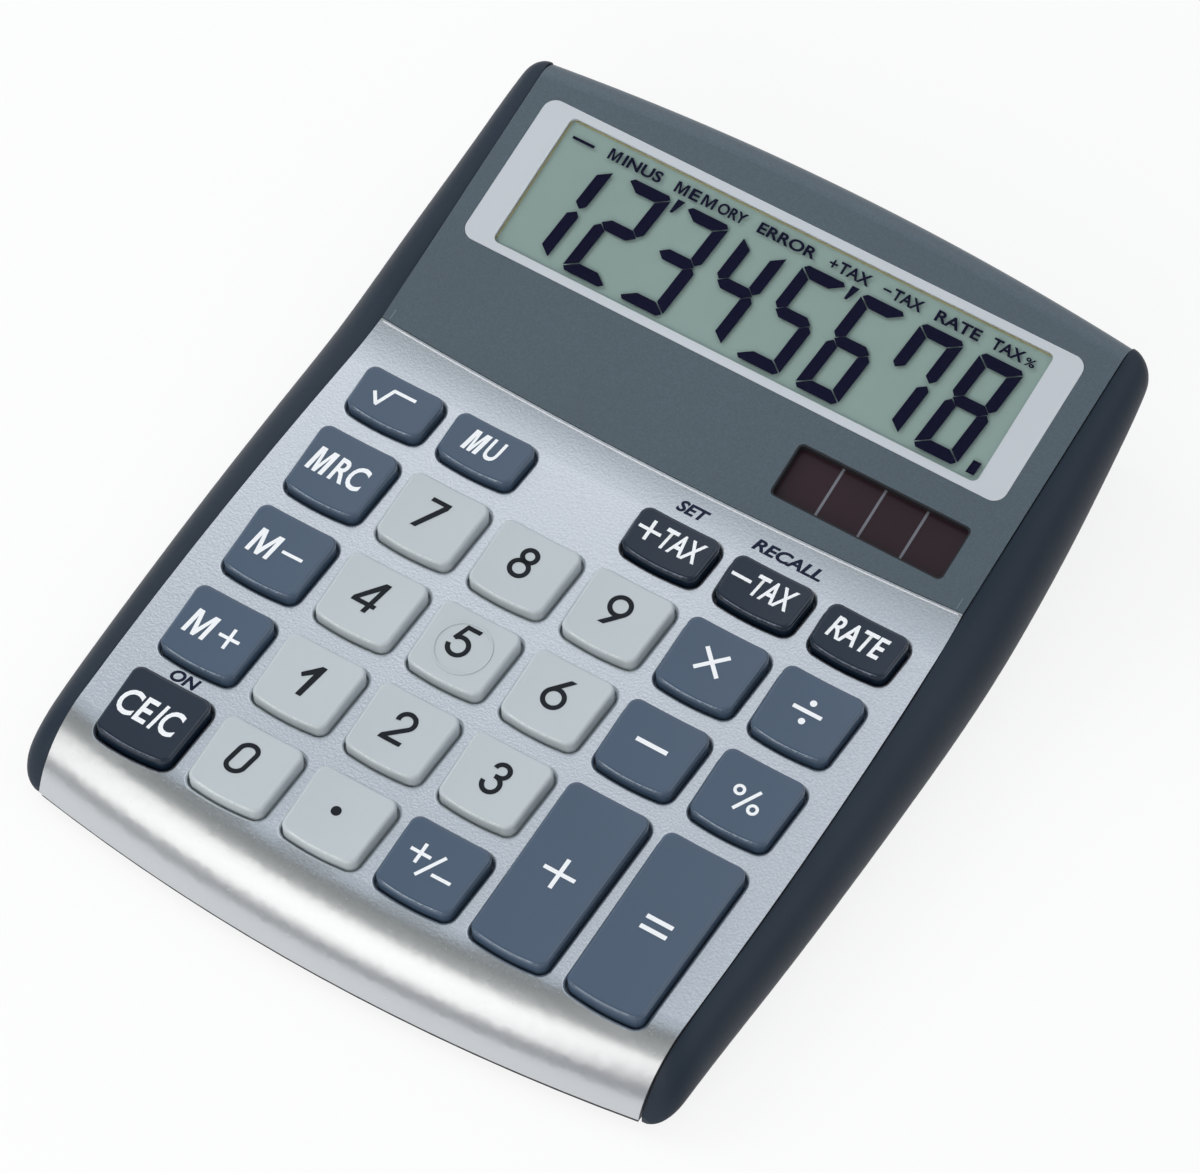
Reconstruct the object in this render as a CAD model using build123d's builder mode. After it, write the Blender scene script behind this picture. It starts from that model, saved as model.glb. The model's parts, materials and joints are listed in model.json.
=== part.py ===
from build123d import *

import os
from math import atan, copysign, cos, radians, sin, sqrt, tan

# A wedge-shaped desk calculator that stands on four feet.
# X runs to the right, Y to the rear and Z up; the origin is under the middle, on the table.
# All lengths are in millimetres and all angles in degrees.

# Keypad: plane, grid and keys
keypad_tilt = 2.5
keypad_origin_y = 2.16
keypad_origin_z = 13.56
key_columns = 6
column_pitch = 15.1
row_pitch = 15.42
third_row_v = -22.98
short_row_step = 13.64
key_rear_width = 12.7
key_front_width = 11.9
key_depth = 11.75
short_key_depth = 7.95
key_front_bow = 0.5
key_corner_radius = 1.5
key_height = 2.1
key_edge_radius = 0.5
key_dish_radius = 90.0
key_dish_fall = 0.4
key_clearance = 0.3
key_travel = 1.2
key_wall = 1.3
key_roof = 1.3
key_post_radius = 2.2
flange_reach = 0.8
flange_thickness = 0.8
flange_gap = 0.25
finger_ring_radius = 3.9
finger_ring_width = 0.3
finger_ring_height = 0.12

# Top skin: plate, panel and the bend between them
skin_thickness = 1.2
panel_tilt = 13.63
bend_setback = 3.57
panel_origin_run = 3.61
bend_radius = 37.0
nose_radius = 12.0
nose_draft = 17.0
front_margin = 11.22
front_bow_radius = 296.0
lip_height = 2.0
rim_radius = 0.45
rear_margin = 8.84
rear_bow_radius = 454.0
rear_radius = 3.5
rear_skirt = 7.0
waist_margin = 3.35
plate_bulge = 1.1
nose_margin = 4.05
nose_side_setback = 2.7
panel_rear_margin = 3.6
junction_setback = 0.41
junction_bow = 1.45
seam_gap = 0.12

# Side rails
rail_gap = 0.15
rail_drop = 0.25
rail_thickness = 5.99
rail_widest_y = 2.2
rail_front_thickness = 3.85
rail_rear_thickness = 3.4
rail_bottom = 0.9
rail_rise = 17.4
rail_rise_start_y = 8.0
rail_mid_share = 0.45
rail_front_tip_height = 0.8
rail_rear_setback = 2.9
rail_front_tip_length = 5.5
rail_rear_tip_length = 3.6
rail_tip_power = 2.5

# Display, in the panel's plane: X across and S up the slope
display_x = -0.45
display_s = 29.15
bezel_side_margin = 3.25
bezel_depth = 24.65
bezel_corner = 2.0
bezel_side_border = 4.6
bezel_border = 1.325
window_corner = 1.0
bezel_thickness = 0.5
window_sink = 0.06
window_thickness = 0.4
lcd_side_lap = 2.4
lcd_fit = 0.225
lcd_thickness = 1.5
lcd_ledge = 3.0
reflector_thickness = 0.2
holder_side_wall = 3.0
holder_wall = 2.4
strip_end_gap = 6.0
strip_depth = 1.8
strip_height = 3.0
display_board_inset = 0.5
holder_screw_inset = 1.6
board_thickness = 1.2

# Solar cell, in the panel's plane
solar_x = 28.5
solar_s = 7.62
solar_width = 27.15
solar_depth = 8.3
solar_corner = 0.9
liner_wall = 0.2
solar_margin = 0.6
solar_cell_thickness = 1.1
lead_radius = 0.4
lead_spacing = 18.0

# Keypad board and mat, measured down from the keypad surface
mat_thickness = 0.6
dome_height = 2.0
dome_base_radius = 3.4
dome_top_radius = 2.6
board_side_margin = 0.9
board_front_reach = 3.68
board_rear_reach = 14.7
mat_rear_margin = 1.245
board_screw_setback = 2.5
board_screw_spacing = 36.0
board_post_radius = 2.3

# Frame and bottom cover
frame_gap = 0.35
frame_wall = 1.3
frame_front_setback = 6.4
parting_front_z = 4.5
parting_tilt = 2.0
cover_bottom = 0.9
cover_floor = 1.5
cover_wall = 1.6
cover_base_inset = 2.95
cover_base_rear_setback = 12.54
cover_rim_inset = 0.55
cover_rim_rear_setback = 2.94
cover_corner = 4.0
case_screw_x = 38.0
case_screw_front_setback = 9.5
case_screw_rear_setback = 18.54
screw_boss_radius = 3.0
board_prop_x = 20.0
board_prop_front_y = -40.0
board_prop_rear_y = 14.0

# Screws and feet
case_shank_radius = 1.0
case_head_radius = 2.0
case_head_height = 1.2
case_grip = 2.1
case_bite = 2.4
board_shank_radius = 0.75
board_head_radius = 1.5
board_head_height = 1.0
hole_clearance = 0.1
foot_radius = 4.0
foot_height = 1.2
foot_x = 36.0
foot_front_y = -46.0
foot_rear_y = 38.0

# Back-up cell and its contacts
cell_radius = 5.8
cell_height = 3.05
cell_x = -24.0
cell_y = 44.0
cell_ring_wall = 1.0
cell_ring_height = 2.5
contact_thickness = 0.2
contact_width = 3.0
contact_offset = 3.5
contact_front_y = 24.0

# Small internal parts
chip_radius = 6.0
chip_height = 1.6
chip_x = 20.0
chip_v = 19.0
ribbon_half_width = 14.0
ribbon_thickness = 0.2
ribbon_board_lap = 5.0
ribbon_overhang = 2.0
ribbon_display_inset = 1.0
ribbon_display_lap = 7.0
touch_gap = 0.05

os.makedirs("parts", exist_ok=True)

tall_key_depth = key_depth + row_pitch
middle_column = (key_columns + 1) / 2
front_row_v = third_row_v - 2 * row_pitch
short_row_v = third_row_v + row_pitch + short_row_step
field_half_width = (key_columns - middle_column) * column_pitch + key_rear_width / 2
field_front_v = front_row_v - key_depth / 2
field_rear_v = short_row_v + short_key_depth / 2
bend_y = keypad_origin_y + field_rear_v * cos(radians(keypad_tilt)) + bend_setback
bend_z = keypad_origin_z + (bend_y - keypad_origin_y) * tan(radians(keypad_tilt))
panel_origin_y = bend_y + panel_origin_run
panel_origin_z = bend_z + panel_origin_run * tan(radians(panel_tilt))
display_rear_s = display_s + bezel_depth / 2
front_y = keypad_origin_y + field_front_v * cos(radians(keypad_tilt)) - front_margin
rear_y = panel_origin_y + display_rear_s * cos(radians(panel_tilt)) + rear_margin
waist_half_width = field_half_width + waist_margin
bezel_width = 2 * (waist_half_width - bezel_side_margin)
window_width = bezel_width - 2 * bezel_side_border
window_depth = bezel_depth - 2 * bezel_border
lcd_width = window_width + 2 * lcd_side_lap
lcd_depth = bezel_depth - 2 * lcd_fit
holder_width = lcd_width + 2 * holder_side_wall
holder_depth = lcd_depth + 2 * holder_wall
holder_screw_s = lcd_depth / 2 - holder_screw_inset
strip_width = lcd_width - 2 * strip_end_gap
display_board_width = holder_width - 2 * display_board_inset
display_board_depth = holder_depth - 2 * display_board_inset
nose_half_width = field_half_width + nose_margin
panel_rear_half_width = field_half_width + panel_rear_margin
nose_side_y = front_y + nose_side_setback
junction_side_y = panel_origin_y + junction_setback
rail_rear_tip_y = rear_y - rail_rear_setback
frame_front_y = front_y + frame_front_setback
case_screw_front_y = front_y + case_screw_front_setback
case_screw_rear_y = rear_y - case_screw_rear_setback
cover_base_half_width = waist_half_width - cover_base_inset
cover_base_rear_y = rear_y - cover_base_rear_setback
cover_rim_half_width = waist_half_width - cover_rim_inset
cover_rim_rear_y = rear_y - cover_rim_rear_setback
board_half_width = field_half_width + board_side_margin
board_front_v = front_row_v - board_front_reach
mat_rear_v = field_rear_v + mat_rear_margin
board_screw_v = mat_rear_v + board_screw_setback
board_rear_v = mat_rear_v + board_rear_reach
flange_top = -skin_thickness - flange_gap
flange_bottom = flange_top - flange_thickness
dome_top = flange_bottom - touch_gap
mat_top = dome_top - dome_height
mat_bottom = mat_top - mat_thickness
board_bottom = mat_bottom - board_thickness
bezel_bottom = -bezel_thickness
lcd_top = bezel_bottom - 2 * touch_gap
lcd_bottom = lcd_top - lcd_thickness
reflector_bottom = lcd_bottom - reflector_thickness
display_board_top = lcd_bottom - strip_height
display_board_bottom = display_board_top - board_thickness
solar_top = -skin_thickness - touch_gap
solar_bottom = solar_top - solar_cell_thickness
floor_top = cover_bottom + cover_floor
front_axis_y = front_y + front_bow_radius
rear_axis_y = rear_y - rear_bow_radius
above_all = 45.0
far = 80.0


def tilted_plane(y, z, tilt):
    """Plane whose X is the world X and whose Y climbs to the rear by the tilt."""
    return Plane(origin=(0, y, z), x_dir=(1, 0, 0), z_dir=(0, -sin(radians(tilt)), cos(radians(tilt))))


keypad = tilted_plane(keypad_origin_y, keypad_origin_z, keypad_tilt)
panel = tilted_plane(panel_origin_y, panel_origin_z, panel_tilt)
parting = tilted_plane(frame_front_y, parting_front_z, parting_tilt)


def moved_plane(plane, x, y, z=0.0):
    """Copy of a plane with its origin moved within it."""
    return Plane(origin=plane.from_local_coords((x, y, z)), x_dir=plane.x_dir, z_dir=plane.z_dir)


def parting_z(y):
    """Height of the parting between the bottom cover and the frame."""
    return parting_front_z + (y - frame_front_y) * tan(radians(parting_tilt))


def keypad_z(y):
    """Height of the keypad surface."""
    return keypad_origin_z + (y - keypad_origin_y) * tan(radians(keypad_tilt))


def panel_z(y):
    """Height of the panel surface."""
    return panel_origin_z + (y - panel_origin_y) * tan(radians(panel_tilt))


def half_width(y):
    """Half width of the plate and panel between the rails."""
    if y > junction_side_y:
        share = (y - junction_side_y) / (rear_y - junction_side_y)
        return waist_half_width + share * (panel_rear_half_width - waist_half_width)
    length = junction_side_y - nose_side_y
    share = (junction_side_y - y) / length
    straight = waist_half_width + share * (nose_half_width - waist_half_width)
    return straight + plate_bulge * 4 * share * (1 - share)


def front_bow(x):
    """How far the bowed front edge falls back at a distance from the middle."""
    return front_bow_radius - sqrt(front_bow_radius**2 - x**2)


def volume_under_skin(inset):
    """Solid below the top surface of the case, with that surface moved inward by the inset."""
    shift = inset / cos(radians(keypad_tilt))
    panel_shift = inset / cos(radians(panel_tilt))
    slope_change = tan(radians(panel_tilt)) - tan(radians(keypad_tilt))
    inner_bend_y = bend_y + (panel_shift - shift) / slope_change
    bend = (inner_bend_y, keypad_z(inner_bend_y) - shift)
    base = -lip_height
    wall_shift = inset / cos(radians(nose_draft))
    base_radius = front_bow_radius + 2 * lip_height * tan(radians(nose_draft)) - wall_shift
    with BuildPart() as volume:
        with BuildSketch(Plane.YZ) as side:
            with BuildLine():
                Polyline(
                    (-far, base),
                    (-far, keypad_z(-far) - shift),
                    bend,
                    (far, panel_z(far) - panel_shift),
                    (far, base),
                    close=True,
                )
            make_face()
            fillet(side.vertices().sort_by_distance((*bend, 0))[0], bend_radius + inset)
        extrude(amount=far, both=True)
        with Locations((0, front_axis_y, base)):
            Cone(
                base_radius,
                base_radius - above_all * tan(radians(nose_draft)),
                above_all,
                align=(Align.CENTER, Align.CENTER, Align.MIN),
                mode=Mode.INTERSECT,
            )
        front_edge = volume.edges().filter_by_position(Axis.Z, lip_height, keypad_origin_z).sort_by(Axis.Y)[0]
        fillet(front_edge, nose_radius - inset)
    return volume.part


def panel_volume(inset):
    """Solid under the display panel, with its rolled rear edge, moved inward by the inset."""
    rear_side_y = rear_axis_y + sqrt(rear_bow_radius**2 - far**2)
    with BuildPart() as volume:
        add(volume_under_skin(inset))
        with BuildSketch() as plan:
            with BuildLine():
                ThreePointArc((far, rear_side_y - inset), (0, rear_y - inset), (-far, rear_side_y - inset))
                Polyline((-far, rear_side_y - inset), (-far, 0), (far, 0), (far, rear_side_y - inset))
            make_face()
        extrude(amount=above_all, mode=Mode.INTERSECT)
        rear_edge = volume.edges().filter_by_position(Axis.X, -1, 1).sort_by(Axis.Z)[-1]
        fillet(rear_edge, rear_radius - inset)
    return volume.part


def seam(y_shift):
    """Plan of the area in front of the seam between plate and panel."""
    side_y = junction_side_y + y_shift
    with BuildSketch() as area:
        with BuildLine():
            ThreePointArc((far, front_of_seam(far) + y_shift), (0, side_y - junction_bow),
                          (-far, front_of_seam(far) + y_shift))
            Polyline((-far, front_of_seam(far) + y_shift), (-far, -far), (far, -far),
                     (far, front_of_seam(far) + y_shift))
        make_face()
    return area.sketch


def front_of_seam(x):
    """Y of the bowed seam at a distance from the middle."""
    return junction_side_y - junction_bow + junction_bow * (x / waist_half_width) ** 2


def side_strip(trim):
    """Plan of the area between the rails, from front to rear, trimmed by a margin on each side."""
    middle_y = (nose_side_y + junction_side_y) / 2
    with BuildSketch() as area:
        with BuildLine():
            Polyline((0, -far), (nose_half_width - trim, -far), (nose_half_width - trim, nose_side_y))
            ThreePointArc(
                (nose_half_width - trim, nose_side_y),
                (half_width(middle_y) - trim, middle_y),
                (waist_half_width - trim, junction_side_y),
            )
            Polyline(
                (waist_half_width - trim, junction_side_y),
                (panel_rear_half_width - trim, rear_y),
                (panel_rear_half_width - trim, far),
                (0, far),
                (0, -far),
            )
        make_face()
        mirror(about=Plane.YZ)
    return area.sketch


def key_outline(depth, margin):
    """Outline of a key about its middle, widened by a margin."""
    rear = depth / 2 + margin
    front = -rear + key_front_bow
    rear_half = key_rear_width / 2 + margin
    front_half = key_front_width / 2 + margin
    with BuildSketch() as outline:
        with BuildLine():
            Line((front_half, front), (rear_half, rear))
            Line((rear_half, rear), (-rear_half, rear))
            Line((-rear_half, rear), (-front_half, front))
            ThreePointArc((-front_half, front), (0, -rear), (front_half, front))
        make_face()
        fillet(outline.vertices(), key_corner_radius + margin)
    return outline.sketch


# Keys by name: column, row (1 is nearest the user) and depth
key_places = {
    "key_clear": (1, 1, key_depth),
    "key_digit_0": (2, 1, key_depth),
    "key_decimal_point": (3, 1, key_depth),
    "key_sign_change": (4, 1, key_depth),
    "key_memory_plus": (1, 2, key_depth),
    "key_digit_1": (2, 2, key_depth),
    "key_digit_2": (3, 2, key_depth),
    "key_digit_3": (4, 2, key_depth),
    "key_memory_minus": (1, 3, key_depth),
    "key_digit_4": (2, 3, key_depth),
    "key_digit_5": (3, 3, key_depth),
    "key_digit_6": (4, 3, key_depth),
    "key_minus": (5, 3, key_depth),
    "key_percent": (6, 3, key_depth),
    "key_memory_recall": (1, 4, key_depth),
    "key_digit_7": (2, 4, key_depth),
    "key_digit_8": (3, 4, key_depth),
    "key_digit_9": (4, 4, key_depth),
    "key_times": (5, 4, key_depth),
    "key_divide": (6, 4, key_depth),
    "key_square_root": (1, 5, short_key_depth),
    "key_mark_up": (2, 5, short_key_depth),
    "key_tax_plus": (4, 5, short_key_depth),
    "key_tax_minus": (5, 5, short_key_depth),
    "key_tax_rate": (6, 5, short_key_depth),
    "key_plus": (5, 1.5, tall_key_depth),
    "key_equals": (6, 1.5, tall_key_depth),
}


def key_centre(name):
    """Place of a key's middle in the keypad plane."""
    column, row, depth = key_places[name]
    x = (column - middle_column) * column_pitch
    if depth == short_key_depth:
        return x, short_row_v
    return x, third_row_v + (row - 3) * row_pitch


def post_offsets(depth):
    """Places of a key's posts along its depth: one, or two under a tall key."""
    if depth == tall_key_depth:
        return [(0, -row_pitch / 2), (0, row_pitch / 2)]
    return [(0, 0)]


def dish_plane(plane, depth, lift):
    """Plane behind a key, square to the axis of its dished top."""
    slope = atan(key_dish_fall / depth)
    rear_sink = key_dish_radius - sqrt(key_dish_radius**2 - (key_rear_width / 2) ** 2)
    axis_height = key_height - rear_sink + key_dish_radius + lift
    origin = plane.from_local_coords((0, far, axis_height + (far - depth / 2) * tan(slope)))
    direction = -plane.y_dir * cos(slope) - plane.z_dir * sin(slope)
    return Plane(origin=origin, x_dir=(1, 0, 0), z_dir=direction)


def finger_ring(plane, depth):
    """Thin raised ring on the dished top of the middle key."""
    with BuildPart() as ring:
        with BuildSketch(plane):
            Circle(finger_ring_radius + finger_ring_width)
            Circle(finger_ring_radius, mode=Mode.SUBTRACT)
        extrude(amount=key_height)
        with BuildSketch(dish_plane(plane, depth, finger_ring_height)):
            Circle(key_dish_radius)
        extrude(amount=2 * far, mode=Mode.SUBTRACT)
    return ring.part


# Keys: hollow caps with a retaining flange and a post over each dome of the mat
flange_limit = volume_under_skin(skin_thickness + flange_gap)
for key_name, (column, row, depth) in key_places.items():
    key_plane = moved_plane(keypad, *key_centre(key_name))
    cap_outline = key_outline(depth, 0)
    flange_outline = key_outline(depth, flange_reach)
    hollow_outline = key_outline(depth, -key_wall)
    ring = finger_ring(key_plane, depth) if key_name == "key_digit_5" else None
    with BuildPart() as key:
        with BuildSketch(key_plane.offset(flange_bottom)):
            add(flange_outline)
        extrude(amount=flange_thickness)
        add(flange_limit, mode=Mode.INTERSECT)
        with BuildSketch(key_plane.offset(flange_top)):
            add(cap_outline)
        extrude(amount=key_height - flange_top)
        with BuildSketch(dish_plane(key_plane, depth, 0)):
            Circle(key_dish_radius)
        extrude(amount=2 * far, mode=Mode.SUBTRACT)
        dished_top = key.faces().filter_by(GeomType.CYLINDER).sort_by(SortBy.AREA)[-1]
        fillet(dished_top.edges(), key_edge_radius)
        with BuildSketch(key_plane.offset(flange_bottom)):
            add(hollow_outline)
            with Locations(*post_offsets(depth)):
                Circle(key_post_radius, mode=Mode.SUBTRACT)
        extrude(amount=key_height - key_dish_fall - key_roof - flange_bottom, mode=Mode.SUBTRACT)
        if ring:
            add(ring)
    key.part.label = key_name
    export_step(key.part, f"parts/{key_name}.step")


def is_opening_wall(face):
    """Whether a face of the plate belongs to the wall of a key's opening."""
    place = keypad.to_local_coords(face.center())
    upright = abs(face.normal_at().dot(keypad.z_dir)) < 0.01
    in_width = abs(place.X) < field_half_width + 2 * key_clearance
    in_depth = field_front_v - 2 * key_clearance < place.Y < field_rear_v + 2 * key_clearance
    return upright and in_width and in_depth


def is_upper_edge(edge):
    """Whether an edge of an opening's wall lies on the upper side of the plate."""
    level = abs(edge.tangent_at(0.5).dot(keypad.z_dir)) < 0.7
    return level and keypad.to_local_coords(edge.center()).Z > -skin_thickness * 0.8


# Keypad plate: a bent sheet with an opening for each key and posts for the board screws
skin_outside = volume_under_skin(0)
skin_inside = volume_under_skin(skin_thickness)
plate_sides = side_strip(0)
plate_front = seam(0)
openings = {depth: key_outline(depth, key_clearance) for _, _, depth in key_places.values()}
board_screw_places = [(x, board_screw_v) for x in (-board_screw_spacing, 0, board_screw_spacing)]
with BuildPart() as keypad_plate:
    add(skin_outside)
    add(skin_inside, mode=Mode.SUBTRACT)
    with BuildSketch(Plane.XY.offset(lip_height)):
        add(plate_sides)
        add(plate_front, mode=Mode.INTERSECT)
    extrude(amount=above_all, mode=Mode.INTERSECT)
    with BuildSketch(keypad.offset(flange_bottom)):
        for key_name, (column, row, depth) in key_places.items():
            with Locations(key_centre(key_name)):
                add(openings[depth])
    extrude(amount=key_height - flange_bottom, mode=Mode.SUBTRACT)
    opening_walls = keypad_plate.faces().filter_by(is_opening_wall)
    fillet(opening_walls.edges().filter_by(is_upper_edge), rim_radius)
    with BuildSketch(keypad.offset(mat_bottom)):
        with Locations(*board_screw_places):
            Circle(board_post_radius)
            Circle(board_shank_radius + hole_clearance, mode=Mode.SUBTRACT)
    extrude(amount=-skin_thickness / 2 - mat_bottom)
keypad_plate.part.label = "keypad_plate"
export_step(keypad_plate.part, "parts/keypad_plate.step")

# Display panel: a tilted sheet with a rolled rear edge and openings for the bezel and the solar cell
panel_outside = panel_volume(0)
panel_inside = panel_volume(skin_thickness)
panel_front = seam(seam_gap)
with BuildPart() as display_panel:
    add(panel_outside)
    add(panel_inside, mode=Mode.SUBTRACT)
    with BuildSketch():
        add(plate_sides)
        add(panel_front, mode=Mode.SUBTRACT)
    extrude(amount=above_all, mode=Mode.INTERSECT)
    with BuildSketch(panel.offset(-rear_skirt)):
        Rectangle(2 * far, 4 * far)
    extrude(amount=-above_all, mode=Mode.SUBTRACT)
    with BuildSketch(panel.offset(-rear_radius)):
        with Locations((display_x, display_s)):
            RectangleRounded(bezel_width + 2 * touch_gap, bezel_depth + 2 * touch_gap, bezel_corner)
        with Locations((solar_x, solar_s)):
            RectangleRounded(
                solar_width + 2 * liner_wall + 2 * touch_gap,
                solar_depth + 2 * liner_wall + 2 * touch_gap,
                solar_corner,
            )
    extrude(amount=2 * rear_radius, mode=Mode.SUBTRACT)
display_panel.part.label = "display_panel"
export_step(display_panel.part, "parts/display_panel.step")


def nose_top(y, x):
    """Height of the skin at a place on the rolled nose, following the bowed front edge."""
    arc_y = front_y + front_bow(x) + nose_radius
    run = min(max(arc_y - y, 0.0), 0.985 * nose_radius)
    return sqrt(nose_radius**2 - run**2) - nose_radius


def rail_section(y):
    """Inner place, outer place, top, middle and bottom of the rail's section at a place along Y."""
    inner = half_width(y) + rail_gap
    widest = half_width(rail_widest_y) + rail_gap + rail_thickness
    if y < rail_widest_y:
        share = (rail_widest_y - y) / (rail_widest_y - nose_side_y)
        end = nose_half_width + rail_gap + rail_front_thickness
        tip = (y - rail_front_tip_y) / rail_front_tip_length
    else:
        share = (y - rail_widest_y) / (rail_rear_tip_y - rail_widest_y)
        end = panel_rear_half_width + rail_gap + rail_rear_thickness
        tip = (rail_rear_tip_y - y) / rail_rear_tip_length
    outer = widest - (widest - end) * share**2
    fullness = (1 - (1 - min(tip, 1.0)) ** rail_tip_power) ** (1 / rail_tip_power)
    outer = inner + (outer - inner) * fullness
    top = max(keypad_z(y), panel_z(y)) + nose_top(y, inner) - rail_drop
    top = top - rear_radius * (1 - fullness) * (y > 0)
    rise = max(y - rail_rise_start_y, 0.0) / (rail_rear_tip_y - rail_rise_start_y)
    bottom = rail_bottom + rail_rise * rise**2
    middle = bottom + rail_mid_share * (top - bottom)
    return inner, outer, top, middle, bottom


# Side rails: crescent-shaped bars with a rounded outer side, thin at both tips.
# Their front tips lie where the nose has come down to the tip's height.
nose_side_arc_y = front_y + front_bow(nose_half_width + rail_gap) + nose_radius
tip_fall = keypad_z(nose_side_y) - rail_drop - rail_bottom - rail_front_tip_height
rail_front_tip_y = nose_side_arc_y - sqrt(nose_radius**2 - (nose_radius - tip_fall) ** 2)
tip_shares = (0.02, 0.1, 0.25, 0.5, 1.0)
front_length = junction_side_y - rail_front_tip_y
rear_length = rail_rear_tip_y - junction_side_y
rail_stations = [
    *[rail_front_tip_y + share * rail_front_tip_length for share in tip_shares],
    *[rail_front_tip_y + share * front_length for share in (0.15, 0.3, 0.5, 0.7, 0.85)],
    *[junction_side_y + share * rear_length for share in (0.0, 0.2, 0.45, 0.7)],
    *[rail_rear_tip_y - share * rail_rear_tip_length for share in reversed(tip_shares)],
]
with BuildPart() as right_side_rail:
    for station in rail_stations:
        inner, outer, top, middle, bottom = rail_section(station)
        with BuildSketch(Plane(origin=(0, station, 0), x_dir=(1, 0, 0), z_dir=(0, -1, 0))):
            with BuildLine():
                Line((inner, bottom), (inner, top))
                EllipticalCenterArc((inner, middle), outer - inner, top - middle, 0, arc_size=90)
                EllipticalCenterArc((inner, middle), outer - inner, middle - bottom, 270, arc_size=90)
            make_face()
    loft()
with BuildPart() as left_side_rail:
    mirror(right_side_rail.part, about=Plane.YZ)
right_side_rail.part.label = "right_side_rail"
export_step(right_side_rail.part, "parts/right_side_rail.step")
left_side_rail.part.label = "left_side_rail"
export_step(left_side_rail.part, "parts/left_side_rail.step")

# Display stack: bezel, clear window, liquid crystal cell, reflector, holder, contact strip and board
display = moved_plane(panel, display_x, display_s)
with BuildPart() as display_bezel:
    with BuildSketch(display.offset(bezel_bottom)):
        RectangleRounded(bezel_width, bezel_depth, bezel_corner)
        RectangleRounded(window_width, window_depth, window_corner, mode=Mode.SUBTRACT)
    extrude(amount=-bezel_bottom)
display_bezel.part.label = "display_bezel"
export_step(display_bezel.part, "parts/display_bezel.step")

with BuildPart() as display_window:
    with BuildSketch(display.offset(-window_sink)):
        RectangleRounded(window_width - 4 * touch_gap, window_depth - 4 * touch_gap, window_corner)
    extrude(amount=-window_thickness)
display_window.part.label = "display_window"
export_step(display_window.part, "parts/display_window.step")

with BuildPart() as lcd_cell:
    with BuildSketch(display.offset(lcd_bottom)):
        Rectangle(lcd_width, lcd_depth)
    extrude(amount=lcd_thickness)
lcd_cell.part.label = "lcd_cell"
export_step(lcd_cell.part, "parts/lcd_cell.step")

with BuildPart() as lcd_reflector:
    with BuildSketch(display.offset(reflector_bottom)):
        with Locations((0, -lcd_ledge / 2)):
            Rectangle(lcd_width, lcd_depth - lcd_ledge)
    extrude(amount=reflector_thickness)
lcd_reflector.part.label = "lcd_reflector"
export_step(lcd_reflector.part, "parts/lcd_reflector.step")

with BuildPart() as elastomer_strip:
    with BuildSketch(display.offset(display_board_top)):
        with Locations((0, (lcd_depth - strip_depth) / 2 - 2 * touch_gap)):
            Rectangle(strip_width, strip_depth)
    extrude(amount=strip_height)
elastomer_strip.part.label = "elastomer_strip"
export_step(elastomer_strip.part, "parts/elastomer_strip.step")

holder_screw_places = [
    (x, y)
    for x in (-(holder_width + lcd_width) / 4, (holder_width + lcd_width) / 4)
    for y in (-holder_screw_s, holder_screw_s)
]
with BuildPart() as display_holder:
    with BuildSketch(display.offset(display_board_top)):
        Rectangle(holder_width, holder_depth)
        Rectangle(lcd_width + 4 * touch_gap, lcd_depth + 4 * touch_gap, mode=Mode.SUBTRACT)
        with Locations(*holder_screw_places):
            Circle(board_shank_radius + hole_clearance, mode=Mode.SUBTRACT)
    extrude(amount=-skin_thickness - touch_gap - display_board_top)
display_holder.part.label = "display_holder"
export_step(display_holder.part, "parts/display_holder.step")

with BuildPart() as display_board:
    with BuildSketch(display.offset(display_board_bottom)):
        Rectangle(display_board_width, display_board_depth)
        with Locations(*holder_screw_places):
            Circle(board_shank_radius + hole_clearance, mode=Mode.SUBTRACT)
    extrude(amount=board_thickness)
display_board.part.label = "display_board"
export_step(display_board.part, "parts/display_board.step")

# Solar cell with the liner of its opening and its two leads down to the keypad board
solar = moved_plane(panel, solar_x, solar_s)
with BuildPart() as solar_liner:
    with BuildSketch(solar.offset(-skin_thickness)):
        RectangleRounded(solar_width + 2 * liner_wall, solar_depth + 2 * liner_wall, solar_corner)
        RectangleRounded(solar_width, solar_depth, solar_corner - liner_wall, mode=Mode.SUBTRACT)
    extrude(amount=skin_thickness - touch_gap)
solar_liner.part.label = "solar_liner"
export_step(solar_liner.part, "parts/solar_liner.step")

with BuildPart() as solar_cell:
    with BuildSketch(solar.offset(solar_bottom)):
        Rectangle(solar_width + 2 * solar_margin, solar_depth + 2 * solar_margin)
    extrude(amount=solar_cell_thickness)
solar_cell.part.label = "solar_cell"
export_step(solar_cell.part, "parts/solar_cell.step")

lead_y = solar.origin.Y - solar_bottom * sin(radians(panel_tilt))
lead_bottom_z = keypad_z(lead_y) + mat_bottom / cos(radians(keypad_tilt)) + hole_clearance
lead_top_z = panel_z(lead_y) + solar_bottom / cos(radians(panel_tilt)) - hole_clearance * 2
with BuildPart() as solar_leads:
    with BuildSketch(Plane.XY.offset(lead_bottom_z)):
        with Locations((solar_x - lead_spacing / 2, lead_y), (solar_x + lead_spacing / 2, lead_y)):
            Circle(lead_radius)
    extrude(amount=lead_top_z - lead_bottom_z)
solar_leads.part.label = "solar_leads"
export_step(solar_leads.part, "parts/solar_leads.step")

# Keypad board with the rubber mat that carries a dome under each key post
board_depth = board_rear_v - board_front_v
board_middle_v = (board_rear_v + board_front_v) / 2
with BuildPart() as circuit_board:
    with BuildSketch(keypad.offset(board_bottom)):
        with Locations((0, board_middle_v)):
            Rectangle(2 * board_half_width, board_depth)
        with Locations(*board_screw_places):
            Circle(board_shank_radius + hole_clearance, mode=Mode.SUBTRACT)
    extrude(amount=board_thickness)
circuit_board.part.label = "circuit_board"
export_step(circuit_board.part, "parts/circuit_board.step")

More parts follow.
